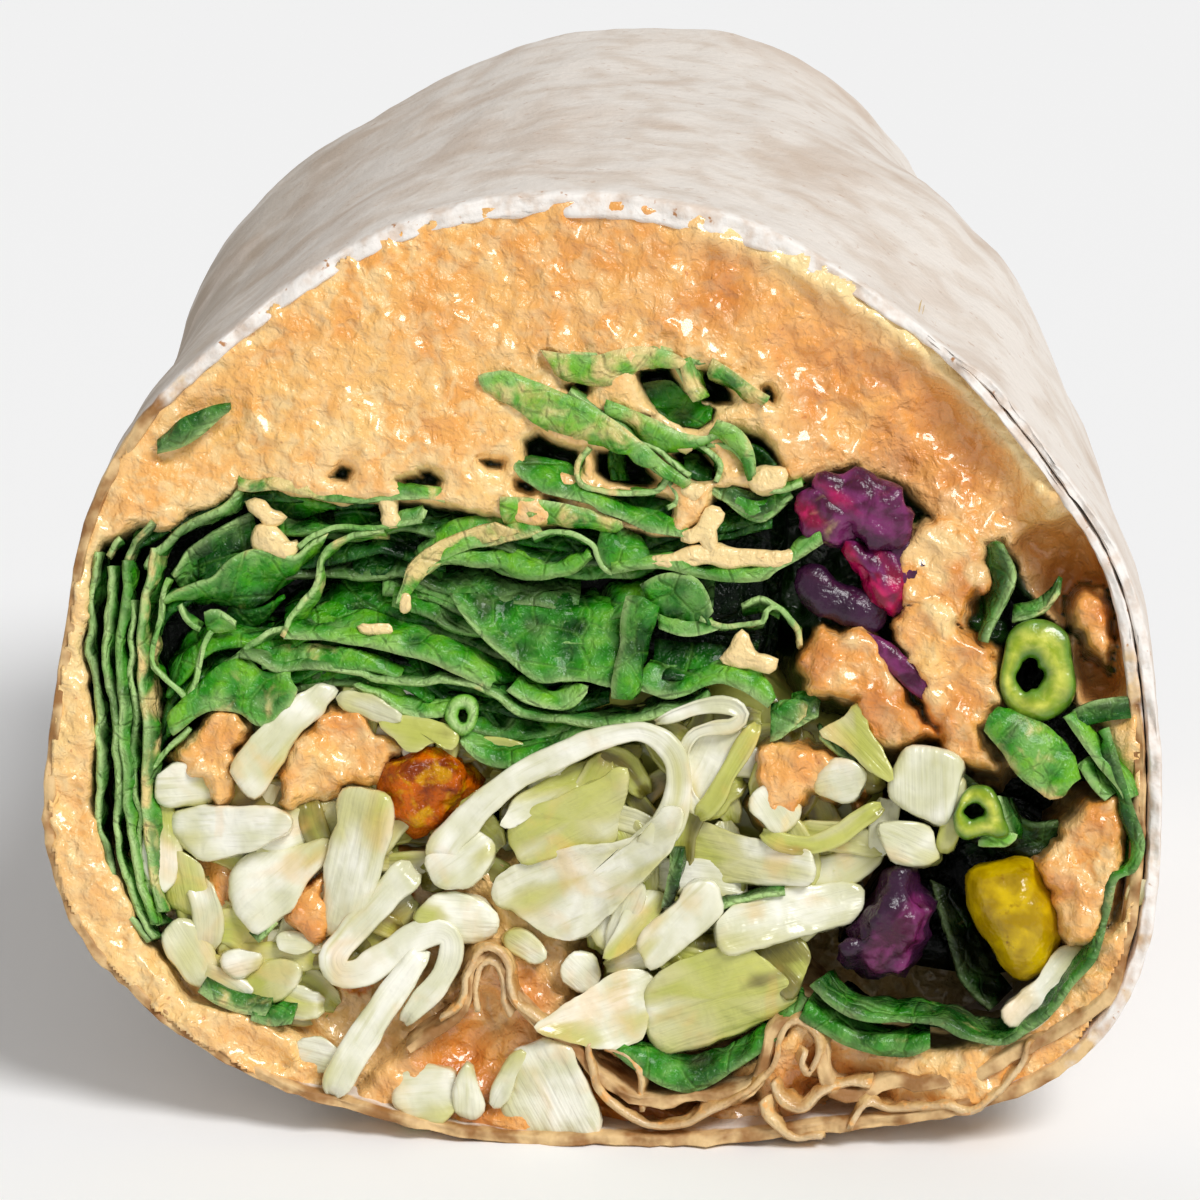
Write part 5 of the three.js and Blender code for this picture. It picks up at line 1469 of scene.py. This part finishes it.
def raisin_material():
    m = Shader("golden_raisin_skin")
    blotch = m.between(m.noise(2.2, 3, 0.6), 0.35, 0.68)
    colour = m.mix(blotch, srgb(132, 52, 0), srgb(212, 104, 0))
    colour = m.mix(m.between(m.noise(1.6, 3, 0.5), 0.48, 0.66), colour, srgb(206, 146, 0))
    normal = m.bump(m.relief(1.0, 0.3, 0.3), 0.5, 1.0)
    return m.finish(colour, 0.2, normal, coat=0.05, shine=0.25, glow=0.2, glow_mm=(1.2, 0.5, 0.1))


def kernel_material():
    m = Shader("yellow_kernel_skin")
    colour = m.mix(m.between(m.noise(2.2, 3, 0.4), 0.35, 0.7), srgb(168, 134, 0), srgb(218, 184, 0))
    colour = m.mix(m.between(m.noise(0.9, 3), 0.62, 0.76), colour, srgb(146, 104, 0))
    return m.finish(colour, 0.2, m.bump(m.relief(1.4, 0.4, 0.25), 0.3, 0.8), coat=0.05, shine=0.35)


def scallion_material():
    m = Shader("scallion_flesh")
    edge, tone, _ = m.look()
    flesh = m.mix(m.between(m.noise(1.3, 3, 0.4), 0.35, 0.7), srgb(150, 170, 12), srgb(226, 226, 96))
    skin = m.mix(m.between(m.noise(1.0, 3), 0.35, 0.7), srgb(40, 104, 20), srgb(92, 146, 40))
    colour = m.mix(edge, skin, flesh)
    # painted shade: dark green down the ring's bore, where its tone is low
    colour = m.mix(m.between(tone, 0.75, 0.25), colour, srgb(26, 44, 8))
    return m.finish(colour, 0.3, m.bump(m.relief(0.9, 0.3, 0.3), 0.2, 0.6), coat=0.4)


# ---- the tortilla ----
RIM_POINTS = 48
JOIN = 8  # the rim point where the crumpled inner end meets the rim
CLIMB = (19, 24)  # the rim points between which the inner layer climbs over the outer one
SEAM = RIM_POINTS + 19
SHEET_STEP = 0.8
VISIBLE_GAP = 0.12
# How thick each layer of the sheet looks: degrees round from the right, mm.
LAYER_THICKNESS = [(-180, 0.8), (-120, 0.8), (-90, 0.85), (-60, 1.0), (-20, 1.1), (8, 0.9), (22, 0.6),
                   (48, 0.6), (62, 0.8), (80, 1.3), (105, 1.4), (140, 1.1), (165, 0.8), (180, 0.8)]
# Rows of points along the sheet, as shares of its length, and columns across its cut edge.
CUT_ROWS = [0, 0.0022, 0.005, 0.009, 0.014, 0.021, 0.03, 0.042, 0.058]
SHEET_ROWS = np.concatenate([CUT_ROWS, np.linspace(0.08, 0.84, 34), np.linspace(0.855, 0.957, 10)])
EDGE_COLUMNS = 7


def degrees_round(points):
    """Degrees round the roll from the right, for points of the face."""
    return np.degrees(np.arctan2(points[:, 1] - CORE_Z, points[:, 0]))


def layer_thickness(points):
    return np.interp(degrees_round(points), *zip(*LAYER_THICKNESS))


def rim_line(start, stop):
    """The sheet's middle line from one rim point to another, an inner layer first, then an outer one."""
    rim = smooth_line(on_face(OUTER), RIM_POINTS, closed=True)
    steps = np.arange(start, stop + 1)
    thick = layer_thickness(rim)[steps % RIM_POINTS]
    shares = 1.5 - smoothstep(steps, *CLIMB)
    inset = thick * shares + VISIBLE_GAP * (shares - 0.5)
    rings = [offset_line(rim, -d, closed=True)[i % RIM_POINTS] for i, d in zip(steps, inset)]
    return np.array(rings)


def sheet_line():
    points = np.vstack([on_face(CRUMPLE), rim_line(JOIN, SEAM)])
    return smooth_line(points, int(line_length(points) / SHEET_STEP))


def along_sheet(share, length, size, octaves, seed):
    """Random numbers along the sheet's line."""
    return fractal(np.stack([share * length, share * 0, share * 0], 1), size, octaves, seed)


def sheet_grid(line, share, turn, on_rim):
    """The outside of the sheet from its far end to the cut, its cut edge, and its inside back again."""
    # the knife has dragged the sheet's edge inwards where the filling has sunk, at the upper right
    lip = 0.8 * bell(turn, 80, 25) + 0.1
    uneven = 1 + 0.12 * along_sheet(share, 60, 3, 2, 5)
    seam = smoothstep(share, 1, 0.98)
    thick = layer_thickness(line) * uneven * (0.35 + 0.65 * seam)
    outer = -0.6 * (1 - seam)
    crinkle = along_sheet(share, 500, 9, 3, 15) * 0.7 * (1 - on_rim)
    sides = []
    for side, order in ((1, SHEET_ROWS[::-1]), (-1, SHEET_ROWS)):
        strips = []
        for t in order:
            near_cut = math.exp(-((t * LENGTH) / 2.2) ** 2)
            rounding = 1 - 0.35 * math.exp(-t * LENGTH / 0.35)
            offset = outer + side * thick / 2 * rounding
            if side < 0:
                offset = offset - lip * near_cut * rounding
            flat = offset_line(line, offset + crinkle * math.exp(-t * 6))
            strips.append(roll_point(flat[:, 0], np.maximum(flat[:, 1], 0), t))
        sides.append(strips)
    outside, inside = sides
    edge = []
    for k in range(1, EDGE_COLUMNS + 1):
        s = k / (EDGE_COLUMNS + 1)
        edge.append(outside[-1] * (1 - s) + inside[0] * s)
    return np.array(outside + edge + inside)


def roughened(grid, depth, at_edge):
    """Lays long soft waves on the skin, and crumbs on the cut edge."""
    skin = fractal(grid * [1, 0.45, 1], 9, 3, 3) * 0.35 + fractal(grid * [1, 0.7, 1], 2.5, 2, 9) * 0.1
    normal = grid_normals(grid)
    away = smoothstep(depth, 0.5, 6)
    outside = (np.arange(len(grid)) < len(SHEET_ROWS))[:, None]
    grounded = smoothstep(grid[..., 2], 0.0, 3.0)
    grid = grid - normal * (skin * away * outside * grounded)[..., None]
    ragged = fractal(grid, 1.1, 3, 21) * 0.42 * at_edge
    grid[..., 1] += ragged
    grid = grid + (fractal(grid, 0.9, 2, 31) * 0.16 * at_edge * grounded)[..., None] * -normal
    grid[..., 2] = np.maximum(grid[..., 2], 0)
    return grid


def sheet_faces(rows, cols):
    """The sheet's squares, with its two long ends and its far edge closed."""
    faces = grid_faces(rows, cols)
    for j, flip in ((0, False), (cols - 1, True)):
        for i in range(rows // 2):
            across = rows - 2 - i
            quad = (i * cols + j, (i + 1) * cols + j, across * cols + j, (across + 1) * cols + j)
            if i + 1 < across:
                faces.append(quad[::-1] if flip else quad)
    last = (rows - 1) * cols
    return faces + [(j, last + j, last + j + 1, j + 1) for j in range(cols - 1)]


def make_tortilla():
    line = sheet_line()
    share = np.linspace(0, 1, len(line))
    turn = degrees_round(line)
    on_rim = smoothstep(share, 0.13, 0.17)
    grid = sheet_grid(line, share, turn, on_rim)
    depth = behind_cut(grid)
    at_edge = np.exp(-np.maximum(depth, 0) / 0.8)
    grid = roughened(grid, depth, at_edge)
    cut_share = np.clip(at_edge * 1.2, 0, 1)
    coated = smoothstep(np.abs(turn - 75), 58, 90) * on_rim + 0.6 * (1 - on_rim)
    from_left = np.abs((turn - 172 + 180) % 360 - 180)
    shadow = 0.75 * smoothstep(from_left, 60, 5)
    coated = coated * (1 - 0.8 * smoothstep(share, 0.8, 0.86))
    smear = np.maximum(cut_share * coated, 0.8 * (1 - on_rim))
    pile = Pile()
    pile.add(grid, sheet_faces(*grid.shape[:2]), edge=cut_share,
             tone=np.broadcast_to(shadow, cut_share.shape), smear=np.clip(smear, 0, 1))
    return pile.make("tortilla_sheet", tortilla_material(), "tortilla")


def make_folds():
    pile = Pile()
    for depth, line in SHEET_FOLDS.values():
        rows = [(depth, line), (depth + 1.0, (3, -7)), (7.0, (5, -14))]
        add_leaf(pile, rows, edge=0.8, thick=0.4, wrinkle=0.7)
    return pile.make("tortilla_folds", soaked_material(), "tortilla")


# ---- the hummus ----
HUMMUS_STEP = 3.2  # pixels
HUMMUS_ACROSS = (36, 1172)  # pixels
HUMMUS_DOWN = (186, 1152)  # pixels
HUMMUS_STATIONS = [0.14, 0.3, 0.5, 0.7, 0.9]  # along the roll, as shares of its length
VALLEY = 14.0  # how deep the hummus lies behind the other fillings
CLIFF = 5.0  # how steeply its sides fall away
SOAKED_DEPTH = 3.3  # how deep it lies between the shreds at the lower left


def bank(distance, top, radius):
    """Depth of a heap whose outline is at distance 0: level inside, rounded at its edge, steep outside."""
    rise = np.clip(1 - distance / radius, 0, 1)
    return top + radius * (1 - np.sqrt(1 - rise ** 2)) + np.clip(-distance, 0, None) * CLIFF


def filling_gap(pixels, moved, wobble):
    """Distance into the holes that the other fillings take up: positive inside them, mm."""
    gap = signed_distance(moved, FILLING_OUTLINE) / PIXELS_PER_MM
    for outline in LEAF_HOLES.values():
        gap = np.maximum(gap, (signed_distance(pixels + wobble * 0.4, outline) + 1.5) / PIXELS_PER_MM)
    return gap


def hummus_relief(place, swirl):
    """Lumps, crumbs and grains of the hummus, as depth in mm."""
    lumps = 0.5 - np.abs(noise((place + swirl) / 2.6, 3))
    crumbs = 0.5 - np.abs(noise((place + swirl) / 1.2, 5))
    grains = noise(place / 0.6, 7)
    return -0.6 * lumps - 0.3 * crumbs - 0.1 * grains - 0.5 * noise(place / 6, 9)


def hummus_sinking(moved):
    """How far the hummus has sunk behind the cut, mm."""
    sunk = 2.2 * smoothstep(signed_distance(moved, TEAR) / PIXELS_PER_MM, -0.1, 0.9)
    for middle, radius, depth in HOLLOWS:
        away = np.linalg.norm(moved - middle, axis=-1) / radius
        sunk += depth * np.exp(-away ** 2)
    return sunk


def hummus_folds(pixels, place, sunk, swirl):
    """Folds where it has sunk, and the furrows that the knife has dragged, as depth in mm."""
    folds = smoothstep(sunk, 0.5, 1.8) * (0.5 - np.abs(noise(place * [1, 1, 0.6] / 5.5, 13))) * 1.4
    along = (pixels @ DRAG) / PIXELS_PER_MM
    across = (pixels @ left_of(DRAG)) / PIXELS_PER_MM
    drags = noise(np.stack([along / 9, across / 2.6, 0 * along], axis=-1) + swirl, 23)
    dragged = smoothstep(pixels[..., 0], 640, 820) * smoothstep(pixels[..., 1], 620, 520)
    return folds - 0.5 * dragged * np.abs(drags)


def lay_islands(torn, place, depth, pale, tone, gap_shade):
    """Lays the heaps that stand in front of the filling over the rest."""
    for outline, top, island_tone in HUMMUS_ISLANDS.values():
        inside = signed_distance(torn, outline) / PIXELS_PER_MM
        island = bank(inside, top, 0.9)
        nearer = island < depth
        depth = np.where(nearer, island, depth)
        tone = np.where(nearer, island_tone - 0.15 + 0.5 * noise(place / 2.2, 19), tone)
        cream = island_tone - 0.95 + 0.6 * smoothstep(noise(place / 1.6, 27), 0.1, 0.6)
        pale = np.where(nearer, cream, pale)
        # painted shade at the foot of each heap, where it drops into the gaps
        gap_shade = np.where(nearer, smoothstep(-inside, 0.1, 0.5), gap_shade)
    return depth, pale, tone, gap_shade


def hummus_surface(pixels):
    """Depth, paleness, tone and painted gap shade of the hummus at an array of pixels. The tone carries
    painted shade where the hummus has sunk, near the rim at the upper right and deep between the shreds.
    """
    across, down = pixels[..., 0], pixels[..., 1]
    place = face(pixels)
    wobble = shift(place, 2.2, 3, (41, 57), 5)
    moved = pixels + wobble
    torn = moved + shift(place, 1.1, 2, (71, 83), 6)
    swirl = shift(place, 1.6, 2, (61, 62, 63), 0.5)
    gap = filling_gap(pixels, moved, wobble)
    relief = hummus_relief(place, swirl)
    sunk = hummus_sinking(moved)
    depth = bank(-gap, 0.35 + sunk + hummus_folds(pixels, place, sunk, swirl), 1.0)
    # painted shade: darker where the hummus has sunk behind the cut and near the rim at the upper right,
    # with random variation on top
    tone = 0.95 - 0.26 * np.clip(sunk, 0, 2.6) + 0.25 * noise(place / 4, 15)
    tone = tone - 0.3 * smoothstep(across, 350, 600) * smoothstep(down, 420, 300)
    pale = 0.55 * np.exp(-np.clip(-gap, 0, None) / 1.1)
    # painted shade: the hummus inside the gaps among the leaves is coloured near-black green
    gap_shade = smoothstep(gap, 0.03, 0.25)
    depth, pale, tone, gap_shade = lay_islands(torn, place, depth, pale, tone, gap_shade)
    soaked = smoothstep(moved[..., 0], 660, 560) * smoothstep(moved[..., 1], 800, 860)
    soaked = np.maximum(soaked, smoothstep(moved[..., 1], 1080, 1110))
    # the painted gap shade is kept only where the hummus lies deep, and is halved lower down the face
    gap_shade = gap_shade * (0.5 + 0.5 * smoothstep(down, 760, 700)) * smoothstep(depth, 0.8, 2.2)
    gap_shade = gap_shade * (1 - soaked)
    # painted shade: darker orange where the hummus lies deep between the shreds at the lower left
    tone = tone - 0.35 * soaked * smoothstep(depth, 1, 2) * smoothstep(across, 760, 600)
    rough = 1 + 0.5 * smoothstep(down, 540, 600)
    valley = VALLEY - (VALLEY - SOAKED_DEPTH) * soaked
    return np.minimum(depth, valley) + relief * rough, pale, tone, gap_shade


def hummus_front(pixels, ring):
    """Places on the front of the hummus and its looks, with a film of it up the rim."""
    depth, pale, tone, gap_shade = hummus_surface(pixels)
    rim_gap = signed_distance(pixels, ring) / PIXELS_PER_MM
    left = smoothstep(pixels[..., 0], 420, 120)
    film = np.exp(-np.clip(rim_gap - 0.9, 0, None) / 0.9)
    right_top = smoothstep(pixels[..., 0], 600, 800) * smoothstep(pixels[..., 1], 560, 440)
    pale = np.clip(pale + film * (0.35 * left + 0.9 * right_top), 0, 1)
    depth = depth - 0.9 * right_top * np.exp(-((rim_gap - 1.2) / 0.9) ** 2)
    return face(pixels, depth), (pale, tone, gap_shade)


def squares_inside(pixels, ring):
    """The squares of a grid of pixels that lie inside a ring, and the edges of their border."""
    kept = signed_distance(pixels[:-1, :-1] + HUMMUS_STEP / 2, ring) > 0
    rows, cols = kept.shape
    corner = np.arange((rows + 1) * (cols + 1)).reshape(rows + 1, cols + 1)
    quads = np.stack([corner[:-1, :-1], corner[1:, :-1], corner[1:, 1:], corner[:-1, 1:]], axis=-1)[kept]
    edges = np.vstack([quads[:, [k, (k + 1) % 4]] for k in range(4)])
    known = set(map(tuple, edges.tolist()))
    return quads, [(a, b) for a, b in known if (b, a) not in known]


def make_hummus():
    ring = to_pixels(rim_line(JOIN, JOIN + RIM_POINTS - 1))
    across = np.arange(*HUMMUS_ACROSS, HUMMUS_STEP)
    down = np.arange(*HUMMUS_DOWN, HUMMUS_STEP)
    pixels = np.stack(np.meshgrid(across, down), axis=-1)
    front, looks = hummus_front(pixels, ring)
    quads, border = squares_inside(pixels, ring)
    used, index = np.unique(quads, return_inverse=True)
    new = dict(zip(used.tolist(), range(len(used))))
    faces = index.reshape(quads.shape).tolist()
    # the border is carried back through the roll and closed at its far end
    outline = sorted({a for a, _ in border})
    order = dict(zip(outline, range(len(outline))))
    on_cut = face(pixels.reshape(-1, 2)[outline])
    points = [front.reshape(-1, 3)[used]]
    points += [roll_point(on_cut[:, 0], on_cut[:, 2], t) for t in HUMMUS_STATIONS]
    points.append(points[-1].mean(axis=0)[None])
    start = len(used)
    n = len(outline)
    far_point = start + len(HUMMUS_STATIONS) * n
    for a, b in border:
        near = (new[a], new[b])
        for first in range(start, far_point, n):
            far = (first + order[a], first + order[b])
            faces.append((near[1], near[0], far[0], far[1]))
            near = far
        faces.append((near[1], near[0], far_point))
    hidden = np.full(far_point + 1 - start, 0.5)
    looks = [np.concatenate([look.ravel()[used], hidden]) for look in looks]
    pile = Pile()
    pile.add(np.vstack(points), faces, *np.clip(looks, 0, 1))
    for bit in HUMMUS_BITS.values():
        add_blob(pile, **dict(bit, tone=1.0, pale=0.85, relief=0.35))
    return pile.make("hummus_paste", hummus_material(), "hummus")


# ---- the greens and the cabbage ----
# The leaves lie in layers between these two lines, from the left of the cut to the right.
LAYERS_TOP = [(104, 575), (165, 535), (240, 498), (345, 506), (440, 508), (540, 525), (640, 534),
              (720, 515), (800, 500)]
LAYERS_BOTTOM = [(150, 930), (150, 800), (182, 730), (250, 712), (330, 690), (400, 708), (470, 745),
                 (560, 745), (650, 715), (780, 680)]
LAYER_POINTS = 60
HIDDEN_LEAVES = 20
HIDDEN_SHREDS = 210


def between_layers(share, start, stop, count):
    """Part of a line between the top and the bottom layer."""
    top = smooth_line(LAYERS_TOP, LAYER_POINTS)
    bottom = smooth_line(LAYERS_BOTTOM, LAYER_POINTS)
    line = top * (1 - share) + bottom * share
    last = LAYER_POINTS - 1
    return smooth_line(line[int(start * last):int(stop * last) + 1], count)


def add_hidden_leaves(pile, draw):
    """Leaves behind the traced ones, which close the stack."""
    for k in range(HIDDEN_LEAVES):
        share = (k + draw.random()) / HIDDEN_LEAVES
        start = draw.uniform(0, 0.6)
        line = between_layers(share, start, min(1, start + draw.uniform(0.25, 0.5)), 9)
        line[:, 1] += np.array([draw.uniform(-5, 5) for _ in line])
        depth = draw.uniform(0.9, 2.4)
        rows = [(depth, line.tolist()), (depth + 0.5, (1, -9)), (depth + 1.4, (2, -20)),
                (depth + 3.4, (3, -34))]
        add_leaf(pile, rows, tone=draw.uniform(0.3, 0.85), smear=draw.uniform(-0.3, 0.1),
                 edge=draw.choice((0, 0, 0.35)), wrinkle=0.6)


def add_hidden_shreds(pile, draw, outline):
    """Shreds behind the traced ones, in all directions."""
    corners = np.asarray(outline, float)
    low, high = corners.min(axis=0), corners.max(axis=0)
    made = 0
    while made < HIDDEN_SHREDS:
        middle = np.array([draw.uniform(low[0], high[0]), draw.uniform(low[1], high[1])])
        turn = draw.uniform(0, math.pi)
        half = np.array([math.cos(turn), math.sin(turn)]) * draw.uniform(22, 52)
        bend = left_of(half) * draw.uniform(-0.3, 0.3)
        ends = np.array([middle - half, middle + bend, middle + half])
        if signed_distance(ends, outline).min() < 8:
            continue
        width = draw.uniform(20, 38)
        path = [(x, y, width * s) for (x, y), s in zip(ends, (0.8, 1, 0.75))]
        add_strip(pile, path, draw.uniform(0.9, 3.4), draw.uniform(1.4, 2.4), step=0.7,
                  tone=draw.choice((0.1, 0.3, 0.45, 0.6, 0.7, 0.85)), smear=draw.uniform(-0.2, 0.3))
        made += 1


def make_spinach():
    pile = Pile()
    # the core's tone is near black: painted shade in the gaps it shows through
    add_core(pile, SPINACH, 1.2, 6.5, 0.05)
    add_hidden_leaves(pile, random.Random(4))
    for leaf in SPINACH_LEAVES.values():
        add_leaf(pile, **leaf)
    add_ring(pile, **STALK_RING)
    return pile.make("spinach_leaves", leaf_material("spinach_leaf"), "spinach")


def make_cabbage():
    pile = Pile()
    add_core(pile, WHITE_CABBAGE, 1.2, 5.0, 0.1)
    add_hidden_shreds(pile, random.Random(9), to_pixels(on_face(WHITE_CABBAGE)))
    for number, piece in enumerate(CABBAGE_PIECES.values()):
        slope = np.array([math.cos(number * 2.4), math.sin(number * 2.4)]) * 0.26
        look = dict(box=piece["box"] + 5, tilt=slope, relief=0.2, fade=0.2 * math.sin(number * 1.7))
        add_blob(pile, **dict(piece, **look))
    for strip in CABBAGE_STRIPS.values():
        add_strip(pile, **strip)
    return pile.make("white_cabbage_shreds", cabbage_material(), "white_cabbage")


def make_greens():
    pile = Pile()
    # the core's tone is near black: painted shade in the gaps it shows through
    add_core(pile, MIXED_GREENS, 1.2, 10.0, 0.0)
    for leaf in GREEN_LEAVES.values():
        add_leaf(pile, **leaf)
    for bit in GREEN_BITS.values():
        add_blob(pile, **bit)
    return pile.make("mixed_greens_leaves", leaf_material("green_leaf"), "mixed_greens")


def make_pieces():
    for node, blobs, material, slot in (
            ("red_cabbage_top", RED_TOP, red_cabbage_material(), "red_cabbage"),
            ("red_cabbage_low", RED_LOW, red_cabbage_material(), "red_cabbage_dark"),
            ("golden_raisin", RAISIN, raisin_material(), "raisin"),
            ("yellow_kernel", KERNEL, kernel_material(), "kernel"),
            ("cabbage_stem_piece", STEM_BLOCK, cabbage_material(), "cabbage")):
        pile = Pile()
        for blob in blobs.values():
            add_blob(pile, **blob)
        pile.make(node + "_look", material, node)
    for node, ring in SCALLION_RINGS.items():
        pile = Pile()
        add_ring(pile, **ring)
        pile.make(node + "_look", scallion_material(), node)


# ---- the far end, folded in ----
END_POINTS = 160
END_STATIONS = np.linspace(0.915, 1, 12)  # along the roll, as shares of its length
END_SIZES = np.linspace(0.97, 0.03, 64)  # of the rings across the end
TUCK_LINE = 30.0  # height of the crease, mm


def end_relief(grid):
    """How far the tucked flaps of the end stand out, mm."""
    tuck = TUCK_LINE + 6 * np.cos(grid[..., 0] / 20) + 1.5 * noise(grid / 9, 3)
    over = smoothstep(grid[..., 2] - tuck, -0.35, 0.35)
    pleat = smoothstep(grid[..., 0] + 0.35 * grid[..., 2] - 18, -0.3, 0.3)
    inner = smoothstep(grid[..., 1], LENGTH - 1.2, LENGTH - 0.6)
    groove = 1.1 * np.exp(-(((grid[..., 2] - tuck + 0.7) / 0.6) ** 2))
    step = (0.9 * (over - 1) + 0.5 * (pleat - 1) * (1 - over) - groove) * inner
    return step + 0.25 * fractal(grid, 7, 3, 8) * inner


def make_tucked_end():
    rim = smooth_line(on_face(OUTER), END_POINTS, closed=True)
    rim = offset_line(rim, -0.9, closed=True)
    rows = [roll_point(*rim.T, t) for t in END_STATIONS]
    last = rows[-1]
    middle = np.array([last[:, 0].mean(), 0, TUCK_LINE])
    for s in END_SIZES:
        row = middle + (last - middle) * s
        row[:, 1] = last[:, 1] - 0.4 + 1.2 * (1 - s ** 2)
        rows.append(row)
    grid = np.array(rows)
    grid[..., 1] += end_relief(grid)
    grid[..., 1] = np.minimum(grid[..., 1], LENGTH + 0.4)
    skin = fractal(grid, 6, 3, 3) * 0.2
    grid = grid + grid_normals(grid, closed=True) * skin[..., None]
    grid[..., 2] = np.maximum(grid[..., 2], 0)
    faces = grid_faces(len(grid), END_POINTS, closed=True)
    n = len(grid) * END_POINTS
    centre = grid[-1].mean(axis=0)
    back = grid[0].mean(axis=0)
    last_row = n - END_POINTS
    faces += [(last_row + j, last_row + (j + 1) % END_POINTS, n) for j in range(END_POINTS)]
    faces += [((j + 1) % END_POINTS, j, n + 1) for j in range(END_POINTS)]
    pile = Pile()
    pile.add(np.vstack([grid.reshape(-1, 3), centre, back]), faces, 0, 0, 0)
    return pile.make("tortilla_tucked_end", tortilla_material(), "tortilla")


def make_scene():
    make_tortilla()
    make_tucked_end()
    make_folds()
    make_hummus()
    make_spinach()
    make_cabbage()
    make_greens()
    make_pieces()


# ---- light, floor and camera ----
SKY_LIGHT = 0.42
SUN_LIGHT = 2.25
SUN_ANGLE = math.radians(22)  # wide, for soft shadows
SUN_FROM = Vector((0.45, -0.5, 0.74))
FLOOR_HALF = 2.0  # metres
SENSOR = 36  # mm


def make_stage():
    scene = bpy.context.scene
    scene.view_settings.view_transform = "Standard"
    world = bpy.data.worlds.new("studio")
    scene.world = world
    world.use_nodes = True
    world.node_tree.nodes["Background"].inputs["Color"].default_value = (1, 1, 1, 1)
    world.node_tree.nodes["Background"].inputs["Strength"].default_value = SKY_LIGHT
    floor_mesh = bpy.data.meshes.new("floor")
    corners = [(x * FLOOR_HALF, y * FLOOR_HALF, 0) for x, y in ((-1, -1), (1, -1), (1, 1), (-1, 1))]
    floor_mesh.from_pydata(corners, [], [(0, 1, 2, 3)])
    floor = bpy.data.objects.new("floor", floor_mesh)
    scene.collection.objects.link(floor)
    m = Shader("floor_paper")
    floor_mesh.materials.append(m.finish(srgb(250, 250, 250), 0.8))
    lamp = bpy.data.lights.new("window", "SUN")
    lamp.angle = SUN_ANGLE
    lamp.energy = SUN_LIGHT
    holder = bpy.data.objects.new("window", lamp)
    scene.collection.objects.link(holder)
    holder.rotation_euler = SUN_FROM.to_track_quat("Z", "Y").to_euler()


def make_camera():
    camera = bpy.data.cameras.new("camera")
    camera.sensor_width = SENSOR
    camera.lens = SENSOR * FOCAL_PX / PHOTO
    camera.clip_start = 0.01
    holder = bpy.data.objects.new("camera", camera)
    bpy.context.scene.collection.objects.link(holder)
    turn = Matrix((RIGHT, UP, BACKWARD)).transposed()
    holder.matrix_world = Matrix.Translation(to_frame(EYE)) @ turn.to_4x4()
    bpy.context.scene.camera = holder


make_scene()
make_stage()
make_camera()
